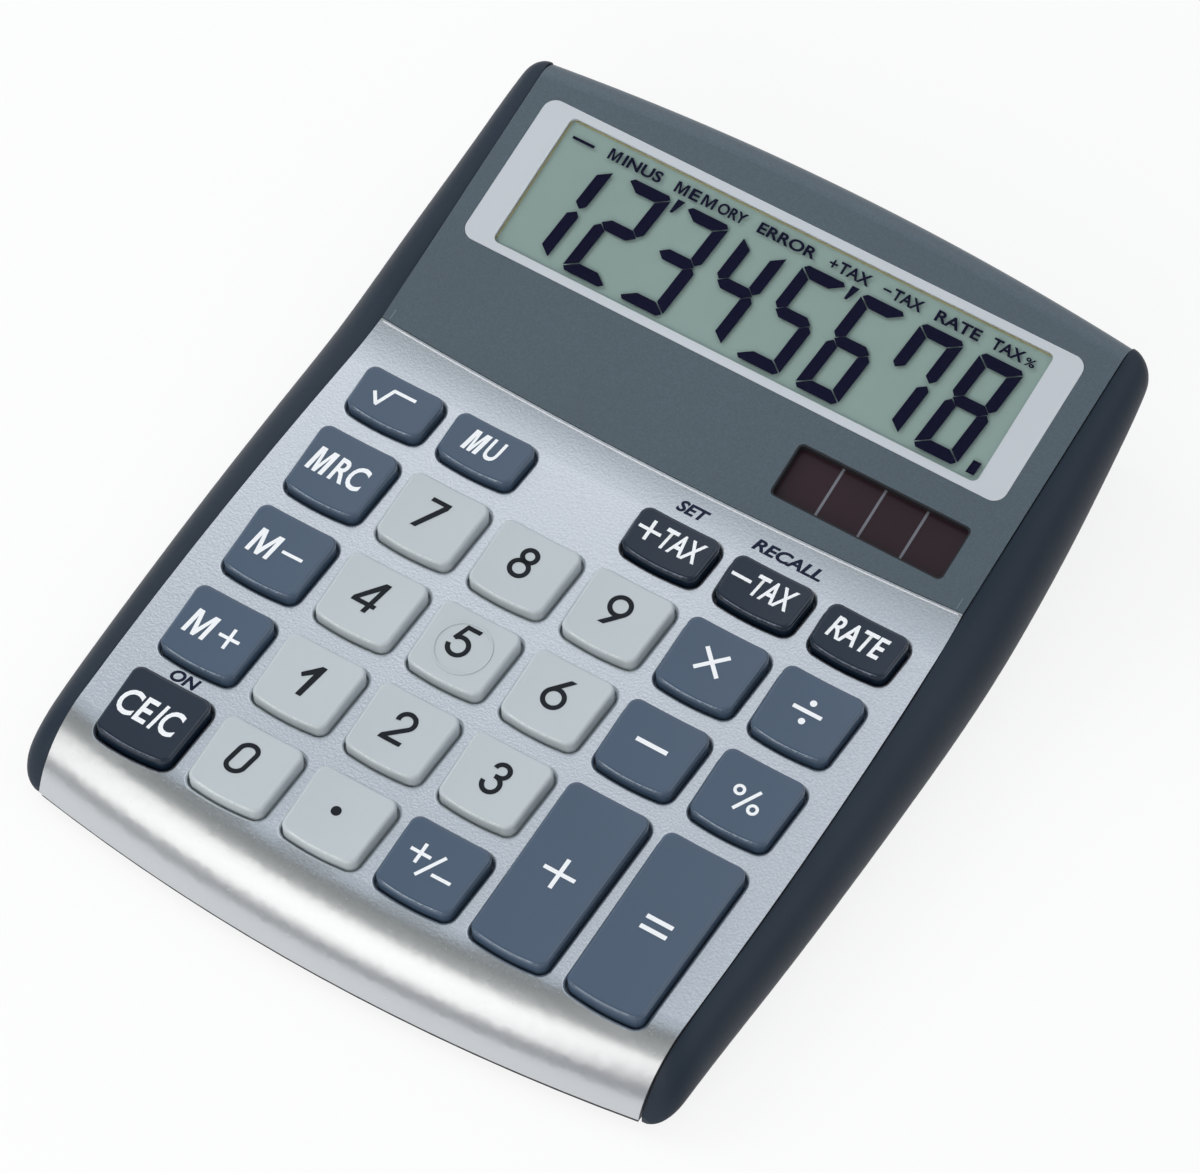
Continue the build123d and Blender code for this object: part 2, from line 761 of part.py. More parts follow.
dome_places = []
for key_name, (column, row, depth) in key_places.items():
    key_x, key_v = key_centre(key_name)
    dome_places += [(key_x + post_x, key_v + post_v) for post_x, post_v in post_offsets(depth)]
with BuildPart() as key_mat:
    with BuildSketch(keypad.offset(mat_bottom)):
        with Locations((0, (board_front_v + mat_rear_v) / 2)):
            Rectangle(2 * board_half_width, mat_rear_v - board_front_v)
    extrude(amount=mat_thickness)
    with Locations(*[moved_plane(keypad, x, v, mat_top) for x, v in dome_places]):
        Cone(dome_base_radius, dome_top_radius, dome_height, align=(Align.CENTER, Align.CENTER, Align.MIN))
key_mat.part.label = "key_mat"
export_step(key_mat.part, "parts/key_mat.step")

with BuildPart() as controller_chip:
    with BuildSketch(moved_plane(keypad, chip_x, chip_v, board_bottom)):
        Circle(chip_radius)
    extrude(amount=-chip_height)
    fillet(controller_chip.faces().sort_by(Axis.Z)[0].edges(), chip_height * 0.8)
controller_chip.part.label = "controller_chip"
export_step(controller_chip.part, "parts/controller_chip.step")

# Ribbon from the keypad board's rear edge up to the underside of the display board
ribbon_low_w = mat_bottom + ribbon_thickness / 2
ribbon_high_w = display_board_bottom - ribbon_thickness / 2
ribbon_meet_s = ribbon_display_inset - display_board_depth / 2
ribbon_start = keypad.from_local_coords((0, board_rear_v - ribbon_board_lap, ribbon_low_w))
ribbon_turn = keypad.from_local_coords((0, board_rear_v + ribbon_overhang, ribbon_low_w))
ribbon_meet = display.from_local_coords((0, ribbon_meet_s, ribbon_high_w))
ribbon_end = display.from_local_coords((0, ribbon_meet_s + ribbon_display_lap, ribbon_high_w))
with BuildPart() as ribbon_cable:
    with BuildSketch(Plane.YZ) as band:
        with BuildLine() as centre:
            Polyline(*[(point.Y, point.Z) for point in (ribbon_start, ribbon_turn, ribbon_meet, ribbon_end)])
        trace(centre.line, line_width=ribbon_thickness)
    extrude(amount=ribbon_half_width, both=True)
ribbon_cable.part.label = "ribbon_cable"
export_step(ribbon_cable.part, "parts/ribbon_cable.step")

# Upper frame: the wall inside the rails that carries plate and panel, with bosses for the case screws
frame_area = side_strip(frame_gap)
frame_top = volume_under_skin(skin_thickness + touch_gap)
case_screw_places = [
    (x, y) for y in (case_screw_front_y, case_screw_rear_y) for x in (-case_screw_x, case_screw_x)
]
rear_wall_side_y = rear_axis_y + sqrt(rear_bow_radius**2 - far**2) - skin_thickness - frame_gap
rear_wall_y = rear_y - skin_thickness - frame_gap
with BuildPart() as upper_frame:
    with BuildSketch() as ring_plan:
        with BuildLine():
            ThreePointArc((far, rear_wall_side_y), (0, rear_wall_y), (-far, rear_wall_side_y))
            Polyline(
                (-far, rear_wall_side_y),
                (-far, frame_front_y),
                (far, frame_front_y),
                (far, rear_wall_side_y),
            )
        make_face()
        add(frame_area, mode=Mode.INTERSECT)
        offset(ring_plan.sketch, amount=-frame_wall, kind=Kind.INTERSECTION, mode=Mode.SUBTRACT)
    extrude(amount=above_all)
    for screw_x, screw_y in case_screw_places:
        with BuildSketch(Plane.XY.offset(parting_z(screw_y) - case_bite)):
            with Locations((screw_x, screw_y)):
                Circle(screw_boss_radius)
            web_end = half_width(screw_y) - 2 * frame_gap
            with Locations((copysign((web_end + case_screw_x) / 2, screw_x), screw_y)):
                Rectangle(web_end - case_screw_x, frame_wall)
        extrude(amount=2 * case_bite)
    add(frame_top, mode=Mode.INTERSECT)
    with BuildSketch(parting):
        Rectangle(2 * far, 4 * far)
    extrude(amount=-above_all, mode=Mode.SUBTRACT)
    with BuildSketch(moved_plane(panel, 0, display_s, -rear_radius - frame_gap)):
        with Locations((0, far / 2 + bezel_depth / 2)):
            Rectangle(2 * far, far)
    extrude(amount=above_all, mode=Mode.SUBTRACT)
    with BuildSketch():
        with Locations(*case_screw_places):
            Circle(case_shank_radius + hole_clearance)
    extrude(amount=above_all, mode=Mode.SUBTRACT)
upper_frame.part.label = "upper_frame"
export_step(upper_frame.part, "parts/upper_frame.step")


def tray(grow, base_z):
    """Solid of the bottom cover's tray, from its base up to the parting, moved outward by grow."""
    base_depth = cover_base_rear_y - frame_front_y
    rim_depth = (cover_rim_rear_y - frame_front_y) / cos(radians(parting_tilt))
    with BuildPart() as solid:
        with BuildSketch(Plane.XY.offset(base_z)):
            with Locations((0, frame_front_y + base_depth / 2)):
                RectangleRounded(2 * cover_base_half_width + 2 * grow, base_depth + 2 * grow, cover_corner)
        with BuildSketch(parting):
            with Locations((0, rim_depth / 2)):
                RectangleRounded(2 * cover_rim_half_width + 2 * grow, rim_depth + 2 * grow, cover_corner)
        loft(ruled=True)
    return solid.part


# Bottom cover: a tray with a front lip, foot recesses, screw sleeves, board props and the cell's pocket
tray_outside = tray(0, cover_bottom)
tray_inside = tray(-cover_wall, floor_top)
foot_places = [(x, y) for y in (foot_front_y, foot_rear_y) for x in (-foot_x, foot_x)]
foot_top = foot_height
prop_places = [(x, y) for y in (board_prop_front_y, board_prop_rear_y) for x in (-board_prop_x, board_prop_x)]
lip_inset = (lip_height - cover_bottom) * tan(radians(nose_draft))
with BuildPart() as bottom_cover:
    add(tray_outside)
    add(tray_inside, mode=Mode.SUBTRACT)
    with BuildSketch(Plane.XY.offset(cover_bottom)):
        with Locations((0, front_axis_y)):
            Circle(front_bow_radius - lip_inset)
        with Locations((0, frame_front_y - far / 2 + cover_corner)):
            Rectangle(2 * nose_half_width - 2 * rail_gap, far, mode=Mode.INTERSECT)
    extrude(amount=lip_height - touch_gap - cover_bottom)
    with BuildSketch(Plane.XY.offset(floor_top)):
        with Locations(*prop_places):
            Circle(board_post_radius)
    extrude(amount=above_all)
    with BuildSketch(moved_plane(keypad, 0, 0, board_bottom - touch_gap)):
        with Locations((0, board_middle_v)):
            Rectangle(2 * (board_prop_x + 2 * board_post_radius), board_depth)
    extrude(amount=2 * above_all, mode=Mode.SUBTRACT)
    for screw_x, screw_y in case_screw_places:
        sleeve_top = parting_z(screw_y - screw_boss_radius) - touch_gap
        with BuildSketch(Plane.XY.offset(cover_bottom)):
            with Locations((screw_x, screw_y)):
                Circle(screw_boss_radius)
        extrude(amount=sleeve_top - cover_bottom)
        with BuildSketch():
            with Locations((screw_x, screw_y)):
                Circle(case_shank_radius + hole_clearance)
        extrude(amount=above_all, mode=Mode.SUBTRACT)
        with BuildSketch():
            with Locations((screw_x, screw_y)):
                Circle(case_head_radius + hole_clearance)
        extrude(amount=parting_z(screw_y) - case_grip, mode=Mode.SUBTRACT)
    with BuildSketch(Plane.XY.offset(floor_top)):
        with Locations((cell_x, cell_y)):
            Circle(cell_radius + 2 * hole_clearance + cell_ring_wall)
            Circle(cell_radius + 2 * hole_clearance, mode=Mode.SUBTRACT)
        with Locations((cell_x - contact_offset, cell_y - cell_radius)):
            Rectangle(contact_width + 4 * hole_clearance, cell_radius, mode=Mode.SUBTRACT)
    extrude(amount=cell_ring_height)
    with BuildSketch():
        with Locations(*foot_places):
            Circle(foot_radius + hole_clearance)
    extrude(amount=foot_top, mode=Mode.SUBTRACT)
bottom_cover.part.label = "bottom_cover"
export_step(bottom_cover.part, "parts/bottom_cover.step")

with BuildPart() as rubber_feet:
    with BuildSketch():
        with Locations(*foot_places):
            Circle(foot_radius)
    extrude(amount=foot_height)
rubber_feet.part.label = "rubber_feet"
export_step(rubber_feet.part, "parts/rubber_feet.step")

# Screws: four that close the case from below, and those that hold the two boards
with BuildPart() as case_screws:
    for screw_x, screw_y in case_screw_places:
        seat_z = parting_z(screw_y) - case_grip
        with BuildSketch(Plane.XY.offset(seat_z)):
            with Locations((screw_x, screw_y)):
                Circle(case_head_radius)
        extrude(amount=-case_head_height)
        with BuildSketch(Plane.XY.offset(seat_z)):
            with Locations((screw_x, screw_y)):
                Circle(case_shank_radius)
        extrude(amount=case_grip + case_bite)
case_screws.part.label = "case_screws"
export_step(case_screws.part, "parts/case_screws.step")

with BuildPart() as board_screws:
    for plane, places, length in (
        (keypad.offset(board_bottom), board_screw_places, -skin_thickness - board_bottom - touch_gap),
        (display.offset(display_board_bottom), holder_screw_places, board_thickness + strip_height),
    ):
        with BuildSketch(plane):
            with Locations(*places):
                Circle(board_head_radius)
        extrude(amount=-board_head_height)
        with BuildSketch(plane):
            with Locations(*places):
                Circle(board_shank_radius)
        extrude(amount=length)
board_screws.part.label = "board_screws"
export_step(board_screws.part, "parts/board_screws.step")

# Back-up cell on the floor of the cover, between two contact strips that reach the board
contact_rear_y = cell_y + contact_width
contact_length = contact_rear_y - contact_front_y
contact_middle_y = (contact_rear_y + contact_front_y) / 2
contact_top_z = keypad_z(contact_front_y) + board_bottom / cos(radians(keypad_tilt)) - touch_gap
cell_bottom = floor_top + contact_thickness
cell_top = cell_bottom + cell_height
with BuildPart() as button_cell:
    with BuildSketch(Plane.XY.offset(cell_bottom)):
        with Locations((cell_x, cell_y)):
            Circle(cell_radius)
    extrude(amount=cell_height)
    fillet(button_cell.faces().sort_by(Axis.Z)[0].edges(), hole_clearance * 4)
button_cell.part.label = "button_cell"
export_step(button_cell.part, "parts/button_cell.step")

for contact_name, contact_x, strip_z in (
    ("cell_contact_negative", cell_x - contact_offset, floor_top),
    ("cell_contact_positive", cell_x + contact_offset, cell_top),
):
    with BuildPart() as contact:
        with BuildSketch(Plane.XY.offset(strip_z)):
            with Locations((contact_x, contact_middle_y)):
                Rectangle(contact_width, contact_length)
        extrude(amount=contact_thickness)
        with BuildSketch(Plane.XY.offset(strip_z)):
            with Locations((contact_x, contact_front_y + contact_thickness / 2)):
                Rectangle(contact_width, contact_thickness)
        extrude(amount=contact_top_z - strip_z)
    contact.part.label = contact_name
    export_step(contact.part, f"parts/{contact_name}.step")
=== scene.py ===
"""Dresses the desk calculator: finishes, legends, the lit display, the solar strips and the studio."""

import json
import logging
from dataclasses import dataclass, field
from enum import Enum
from math import cos, hypot, radians, sin

import bpy
from mathutils import Matrix, Vector


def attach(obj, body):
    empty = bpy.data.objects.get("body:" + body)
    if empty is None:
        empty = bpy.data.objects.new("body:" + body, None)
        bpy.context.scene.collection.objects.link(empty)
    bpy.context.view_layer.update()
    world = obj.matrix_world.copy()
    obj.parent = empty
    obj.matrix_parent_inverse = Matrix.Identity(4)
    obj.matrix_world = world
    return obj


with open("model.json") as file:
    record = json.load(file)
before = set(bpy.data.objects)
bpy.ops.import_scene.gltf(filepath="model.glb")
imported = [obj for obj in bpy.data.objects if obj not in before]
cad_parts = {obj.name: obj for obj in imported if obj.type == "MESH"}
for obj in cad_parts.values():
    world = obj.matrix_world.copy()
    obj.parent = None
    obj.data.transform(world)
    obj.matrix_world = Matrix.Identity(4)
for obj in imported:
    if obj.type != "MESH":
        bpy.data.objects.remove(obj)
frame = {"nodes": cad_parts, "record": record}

LOG = logging.getLogger("calculator")
SLOTS = {part["node"]: part["material_slot"] for part in frame["record"]["subparts"]}
MM = 0.001
CASE = "case"
MERGE_DISTANCE = 0.000002
ROUND_SIDES = 32
LETTER_CURVE_STEPS = 4
# Heights above their planes from which prints drop onto the keys, the plate and the panel, in millimetres.
ABOVE_KEYS = 4.0
ABOVE_PLATE = 3.0
ABOVE_PANEL = 2.0
# Sockets of the colour version of Blender's Mix node, which share their names with its other versions.
MIX_FIRST, MIX_SECOND, MIX_RESULT = 6, 7, 2

Colour = tuple[float, float, float]
Triple = tuple[float, float, float]
Point = tuple[float, float]
Socket = bpy.types.NodeSocket
Tree = bpy.types.NodeTree


def srgb(red: int, green: int, blue: int) -> Colour:
    """Turns a screen colour into the linear colour that shaders take.

    Args:
        red: Red from 0 to 255.
        green: Green from 0 to 255.
        blue: Blue from 0 to 255.

    Returns:
        The linear colour.
    """
    shares = [channel / 255 for channel in (red, green, blue)]
    linear = [share / 12.92 if share <= 0.04045 else ((share + 0.055) / 1.055) ** 2.4 for share in shares]
    return linear[0], linear[1], linear[2]


def add_node(tree: Tree, kind: str, values: dict[str, float] | None = None) -> bpy.types.Node:
    """Adds a shader node.

    Args:
        tree: The node tree.
        kind: The node's type.
        values: Numbers for its sockets, by their names.

    Returns:
        The node.
    """
    node = tree.nodes.new(kind)
    for socket, value in (values or {}).items():
        node.inputs[socket].default_value = value
    return node


def feed(value: Socket | float, socket: Socket) -> None:
    """Links a socket to another one, or sets it to a number.

    Args:
        value: The socket or the number that it takes.
        socket: The socket to feed.
    """
    if isinstance(value, Socket):
        socket.id_data.links.new(value, socket)
    else:
        socket.default_value = value


def add_math(tree: Tree, operation: str, first: Socket | float, second: Socket | float) -> Socket:
    """Adds a calculation with two values.

    Args:
        tree: The node tree.
        operation: What is done with them.
        first: The first value.
        second: The second value.

    Returns:
        The result.
    """
    node = tree.nodes.new("ShaderNodeMath")
    node.operation = operation
    feed(first, node.inputs[0])
    feed(second, node.inputs[1])
    return node.outputs[0]


def multiply_colour(tree: Tree, share: Socket | float, colour: Socket, shade: Socket) -> Socket:
    """Multiplies a colour by a shade.

    Args:
        tree: The node tree.
        share: How much of the shade counts.
        colour: The colour.
        shade: The shade.

    Returns:
        The shaded colour.
    """
    mix = tree.nodes.new("ShaderNodeMix")
    mix.data_type = "RGBA"
    mix.blend_type = "MULTIPLY"
    feed(share, mix.inputs["Factor"])
    feed(colour, mix.inputs[MIX_FIRST])
    feed(shade, mix.inputs[MIX_SECOND])
    return mix.outputs[MIX_RESULT]


def blend_surfaces(tree: Tree, share: Socket, first: Socket, second: Socket) -> None:
    """Gives a material a surface blended from two shaders.

    Args:
        tree: The material's node tree.
        share: Share of the second shader.
        first: The first shader.
        second: The second shader.
    """
    mix = tree.nodes.new("ShaderNodeMixShader")
    feed(share, mix.inputs["Fac"])
    feed(first, mix.inputs[1])
    feed(second, mix.inputs[2])
    feed(mix.outputs["Shader"], tree.nodes["Material Output"].inputs["Surface"])


@dataclass(frozen=True)
class TiltedPlane:
    """A plane that climbs to the rear, with X across and V up its slope, in millimetres."""

    origin_y: float
    origin_z: float
    tilt: float

    def matrix(self, x: float = 0.0, v: float = 0.0, w: float = 0.0) -> Matrix:
        """Places something drawn flat about the origin on this plane.

        Args:
            x: Place across.
            v: Place up the slope.
            w: Height above the plane.

        Returns:
            The placing matrix in metres.
        """
        slope = radians(self.tilt)
        y = self.origin_y + v * cos(slope) - w * sin(slope)
        z = self.origin_z + v * sin(slope) + w * cos(slope)
        return Matrix.Translation(Vector((x, y, z)) * MM) @ Matrix.Rotation(slope, 4, "X")


KEYPAD = TiltedPlane(2.16, 13.56, 2.5)
PANEL = TiltedPlane(19.39, 15.03, 13.63)


@dataclass(frozen=True)
class Finish:
    """A moulded or painted finish with fine grain, slight colour drift and uneven gloss."""

    name: str
    colour: Colour
    roughness: float = 0.45
    metallic: float = 0.0
    grain_size: float = 0.25
    grain_height: float = 0.02
    drift: float = 0.06
    sparkle: float = 0.0
    specular: float = 0.5
    level_grain: bool = False
    # Painted shade: how far the colour darkens in the hollows of the grain.
    hollow_shade: float = 0.0
    cloud_scale: float = 45.0
    cloud_range: Point = (0.3, 0.7)
    flake_size: float = 0.16
    sparkle_lift: float = 0.1
    level_range: Point = (0.93, 0.995)
    level_least: float = 0.04
    hollow_shade_range: Point = (0.35, 0.65)
    gloss_sway: float = 0.05

    def shade(self, share: float) -> tuple[float, float, float, float]:
        """Lightens or darkens the colour.

        Args:
            share: Share of the colour to add.

        Returns:
            The colour with its alpha.
        """
        red, green, blue = (min(channel * (1 + share), 1.0) for channel in self.colour)
        return red, green, blue, 1.0

    def noise(self, tree: Tree, place: Socket, scale: float, detail: float) -> Socket:
        """Adds soft noise.

        Args:
            tree: The material's node tree.
            place: Place on the object.
            scale: Spots in a metre.
            detail: Levels of finer spots.

        Returns:
            The noise from 0 to 1.
        """
        spots = add_node(tree, "ShaderNodeTexNoise", {"Scale": scale, "Detail": detail})
        feed(place, spots.inputs["Vector"])
        return spots.outputs["Fac"]

    def clouded(self, tree: Tree, place: Socket) -> Socket:
        """Lets the colour drift in soft clouds.

        Args:
            tree: The material's node tree.
            place: Place on the object.

        Returns:
            The drifting colour.
        """
        tint = add_node(tree, "ShaderNodeValToRGB")
        shades = (-self.drift, self.drift)
        for stop, position, shade in zip(tint.color_ramp.elements, self.cloud_range, shades):
            stop.position = position
            stop.color = self.shade(shade)
        feed(self.noise(tree, place, self.cloud_scale, 3.0), tint.inputs["Fac"])
        return tint.outputs["Color"]

    def sparkled(self, tree: Tree, place: Socket, colour: Socket) -> Socket:
        """Adds fine flakes to the colour.

        Args:
            tree: The material's node tree.
            place: Place on the object.
            colour: The plain colour.

        Returns:
            The colour with flakes.
        """
        flakes = add_node(tree, "ShaderNodeTexVoronoi", {"Scale": 1 / (self.flake_size * MM)})
        feed(place, flakes.inputs["Vector"])
        grey = add_node(tree, "ShaderNodeRGBToBW")
        feed(flakes.outputs["Color"], grey.inputs["Color"])
        glint = multiply_colour(tree, self.sparkle, colour, grey.outputs["Val"])
        lift = add_node(tree, "ShaderNodeBrightContrast", {"Bright": self.sparkle * self.sparkle_lift})
        feed(glint, lift.inputs["Color"])
        return lift.outputs["Color"]

    def level_share(self, tree: Tree) -> Socket:
        """Finds how level a face lies, so that the grain fades on rolled edges.

        Args:
            tree: The material's node tree.

        Returns:
            A share that is 1 on level faces.
        """
        least, most = self.level_range
        fade = add_node(tree, "ShaderNodeMapRange", {"From Min": least, "From Max": most})
        fade.inputs["To Min"].default_value = self.level_least
        parts = add_node(tree, "ShaderNodeSeparateXYZ")
        feed(add_node(tree, "ShaderNodeNewGeometry").outputs["Normal"], parts.inputs["Vector"])
        feed(parts.outputs["Z"], fade.inputs["Value"])
        return fade.outputs["Result"]

    def hollow_shaded(self, tree: Tree, grain: Socket, level: Socket | float, colour: Socket) -> Socket:
        """Paints shade into the hollows of the grain, darkening the colour where the grain dips.

        Args:
            tree: The material's node tree.
            grain: The grain's noise.
            level: Share of the painted shade that shows.
            colour: The plain colour.

        Returns:
            The colour with painted shade in the hollows.
        """
        least, most = self.hollow_shade_range
        spots = add_node(tree, "ShaderNodeMapRange", {"From Min": least, "From Max": most})
        spots.inputs["To Min"].default_value = 1 - self.hollow_shade
        feed(grain, spots.inputs["Value"])
        return multiply_colour(tree, level, colour, spots.outputs["Result"])

    def material(self) -> bpy.types.Material:
        """Builds the finish as a material, once.

        Returns:
            The material.
        """
        found = bpy.data.materials.get(self.name)
        if found:
            return found
        material = bpy.data.materials.new(self.name)
        material.use_nodes = True
        tree = material.node_tree
        shader = tree.nodes["Principled BSDF"].inputs
        shader["Metallic"].default_value = self.metallic
        shader["Specular IOR Level"].default_value = self.specular
        place = add_node(tree, "ShaderNodeTexCoord").outputs["Object"]
        grain = self.noise(tree, place, 1 / (self.grain_size * MM), 2.0)
        level = self.level_share(tree) if self.level_grain else 1.0
        colour = self.clouded(tree, place)
        if self.sparkle:
            colour = self.sparkled(tree, place, colour)
        # Painted shade in the hollows of the grain, where the bump dips.
        if self.hollow_shade:
            colour = self.hollow_shaded(tree, grain, level, colour)
        feed(colour, shader["Base Color"])

        gloss = add_node(tree, "ShaderNodeMapRange")
        gloss.inputs["To Min"].default_value = self.roughness - self.gloss_sway
        gloss.inputs["To Max"].default_value = self.roughness + self.gloss_sway
        feed(grain, gloss.inputs["Value"])
        feed(gloss.outputs["Result"], shader["Roughness"])

        bump = add_node(tree, "ShaderNodeBump", {"Distance": self.grain_height * MM})
        feed(level, bump.inputs["Strength"])
        feed(grain, bump.inputs["Height"])
        feed(bump.outputs["Normal"], shader["Normal"])
        return material


@dataclass(frozen=True)
class ClearSheet:
    """A thin clear cover that lets light and shadows through and keeps a faint reflection."""

    name: str
    refraction: float = 1.12
    roughness: float = 0.1

    def material(self) -> bpy.types.Material:
        """Builds the clear cover's material, once.

        Returns:
            The material.
        """
        found = bpy.data.materials.get(self.name)
        if found:
            return found
        material = bpy.data.materials.new(self.name)
        material.use_nodes = True
        tree = material.node_tree
        tree.nodes.remove(tree.nodes["Principled BSDF"])
        clear = add_node(tree, "ShaderNodeBsdfTransparent")
        shine = add_node(tree, "ShaderNodeBsdfGlossy", {"Roughness": self.roughness})
        fresnel = add_node(tree, "ShaderNodeFresnel", {"IOR": self.refraction})
        inside = add_node(tree, "ShaderNodeNewGeometry").outputs["Backfacing"]
        outside = add_math(tree, "SUBTRACT", 1.0, inside)
        share = add_math(tree, "MULTIPLY", fresnel.outputs["Fac"], outside)
        blend_surfaces(tree, share, clear.outputs["BSDF"], shine.outputs["BSDF"])
        return material


class Paint(Enum):
    """Every finish on the calculator."""

    SILVER = Finish(
        "silver_skin_paint",
        srgb(234, 238, 242),
        roughness=0.25,
        metallic=0.95,
        grain_size=0.36,
        grain_height=0.028,
        drift=0.01,
        sparkle=0.03,
        level_grain=True,
        # Painted shade in the hollows of the grain.
        hollow_shade=0.07,
    )
    # Painted highlight along the seam between the plate and the panel.
    SILVER_EDGE = Finish("silver_edge_painted_highlight", srgb(236, 238, 242), 0.4, 0.4, 0.3, 0.004, 0.03)
    SLATE = Finish("slate_skin_paint", srgb(79, 96, 107), 0.36, 0.3, 0.2, 0.012, 0.03, 0.35)
    RAIL = Finish("rail_navy_plastic", srgb(35, 45, 57), 0.4, 0.0, 0.3, 0.01, 0.08, specular=0.28)
    BEZEL = Finish("bezel_pale_plastic", srgb(192, 198, 204), 0.42, 0.0, 0.25, 0.006, 0.02)
    LIGHT_KEY = Finish("light_key_plastic", srgb(187, 195, 199), 0.3, 0.0, 0.22, 0.005, 0.02)
    SLATE_KEY = Finish("slate_key_plastic", srgb(67, 84, 104), 0.24, 0.0, 0.22, 0.004, 0.03, specular=0.8)
    NAVY_KEY = Finish("navy_key_plastic", srgb(20, 34, 50), 0.22, 0.0, 0.22, 0.004, 0.05, specular=0.7)
    # Painted highlights along the keys' front edges, paler shades of the key colours.
    LIGHT_KEY_EDGE = Finish("light_key_edge_painted_highlight", srgb(222, 228, 229), 0.3, 0.0, 0.22, 0.003, 0.03)
    SLATE_KEY_EDGE = Finish("slate_key_edge_painted_highlight", srgb(150, 163, 178), 0.3, 0.0, 0.22, 0.003, 0.05)
    NAVY_KEY_EDGE = Finish("navy_key_edge_painted_highlight", srgb(112, 122, 140), 0.3, 0.0, 0.22, 0.003, 0.05)
    DARK = Finish("dark_case_plastic", srgb(34, 36, 40), 0.55, 0.0, 0.5, 0.03, 0.08)
    RUBBER = Finish("dark_rubber", srgb(30, 30, 32), 0.8, 0.0, 0.4, 0.04, 0.1)
    MAT = Finish("mat_silicone", srgb(176, 176, 172), 0.7, 0.0, 0.4, 0.02, 0.05)
    BOARD = Finish("board_lacquer", srgb(40, 96, 62), 0.35, 0.0, 0.6, 0.01, 0.12)
    METAL = Finish("plated_metal", srgb(190, 190, 186), 0.28, 1.0, 0.15, 0.005, 0.04)
    RIBBON = Finish("ribbon_film", srgb(206, 200, 178), 0.4, 0.0, 0.5, 0.01, 0.05)
    LCD = Finish("lcd_grey_green", srgb(134, 154, 149), 0.6, 0.0, 0.3, 0.004, 0.025, specular=0.2)
    # Painted shade along the top and left edges of the display cell, an olive tint.
    LCD_EDGE = Finish("lcd_edge_painted_shade", srgb(150, 148, 112), 0.6, 0.0, 0.3, 0.004, 0.05, specular=0.2)
    # Painted highlights along the panel's sides.
    SLATE_EDGE = Finish("slate_edge_painted_highlight", srgb(128, 144, 154), 0.36, 0.3, 0.2, 0.006, 0.1)
    SOLAR = Finish("solar_brown", srgb(41, 24, 31), 0.3, 0.0, 0.5, 0.003, 0.1)
    SOLAR_LINE = Finish("solar_divider", srgb(120, 122, 130), 0.35, 0.3, 0.2, 0.004, 0.05)
    LEGEND_WHITE = Finish("legend_white_ink", srgb(240, 243, 246), 0.45, 0.0, 0.2, 0.003, 0.01)
    LEGEND_BLACK = Finish("legend_black_ink", srgb(28, 32, 38), 0.55, 0.0, 0.2, 0.003, 0.05, specular=0.2)
    LEGEND_NAVY = Finish("legend_navy_ink", srgb(26, 32, 56), 0.55, 0.0, 0.2, 0.003, 0.05, specular=0.2)
    SEGMENT = Finish("lcd_segment_dark", srgb(18, 18, 40), 0.7, 0.0, 0.3, 0.003, 0.08, specular=0.05)
    WINDOW = ClearSheet("clear_window_sheet")


def select_only(thing: bpy.types.Object) -> None:
    """Makes one object the only selected and the active one.

    Args:
        thing: The object.
    """
    bpy.ops.object.select_all(action="DESELECT")
    thing.select_set(True)
    bpy.context.view_layer.objects.active = thing


def settle(thing: bpy.types.Object, name: str, place: Matrix) -> bpy.types.Object:
    """Puts an object where it belongs and moves that place into its mesh.

    Args:
        thing: The object, drawn about the origin in metres.
        name: Its new name.
        place: Where it goes.

    Returns:
        The same object, standing at the origin.
    """
    select_only(thing)
    thing.matrix_world = place
    bpy.ops.object.transform_apply(location=True, rotation=True, scale=True)
    thing.name = name
    thing.data.name = name
    return thing


def joined(things: list[bpy.types.Object], name: str) -> bpy.types.Object:
    """Joins meshes into one.

    Args:
        things: The meshes.
        name: Name of the joined mesh.

    Returns:
        The joined mesh.
    """
    select_only(things[0])
    for thing in things:
        thing.select_set(True)
    if len(things) > 1:
        bpy.ops.object.join()
    result = bpy.context.view_layer.objects.active
    result.name = name
    result.data.name = name
    return result


@dataclass(frozen=True)
class Word:
    """A word drawn flat: its text, its box across and up, and how it leans."""

    text: str
    left: float
    right: float
    bottom: float
    top: float
    weight: float
    lean: float

    def draw(self) -> bpy.types.Object:
        """Draws the word in its box, in metres about the plane's origin.

        Returns:
            A flat mesh.
        """
        bpy.ops.object.select_all(action="DESELECT")
        bpy.ops.object.text_add(location=(0, 0, 0))
        letters = bpy.context.object
        letters.data.body = self.text
        letters.data.offset = self.weight
        letters.data.resolution_u = LETTER_CURVE_STEPS
        letters.data.shear = self.lean
        select_only(letters)
        bpy.ops.object.convert(target="MESH")
        mesh = bpy.context.object
        xs = [corner[0] for corner in mesh.bound_box]
        ys = [corner[1] for corner in mesh.bound_box]
        width, height = max(xs) - min(xs), max(ys) - min(ys)
        across = (self.right - self.left) * MM / width
        up = (self.top - self.bottom) * MM / height
        fit = Matrix.Diagonal((across, up, 1.0, 1.0)) @ Matrix.Translation((-min(xs), -min(ys), 0))
        place = Matrix.Translation((self.left * MM, self.bottom * MM, 0)) @ fit
        return settle(mesh, "word", place)


@dataclass(frozen=True)
class Bar:
    """A straight printed stroke from one point to another."""

    start: Point
    end: Point
    thickness: float

    def draw(self) -> bpy.types.Object:
        """Draws the stroke in metres about the plane's origin.

        Returns:
            A flat mesh.
        """
        run = Vector(self.end) - Vector(self.start)
        middle = (Vector(self.end) + Vector(self.start)) / 2
        turn = Matrix.Rotation(Vector((1, 0)).angle_signed(run) * -1, 4, "Z")
        size = Matrix.Diagonal((run.length * MM, self.thickness * MM, 1.0, 1.0))
        bpy.ops.object.select_all(action="DESELECT")
        bpy.ops.mesh.primitive_plane_add(size=1.0)
        return settle(bpy.context.object, "bar", Matrix.Translation((*(middle * MM), 0)) @ turn @ size)


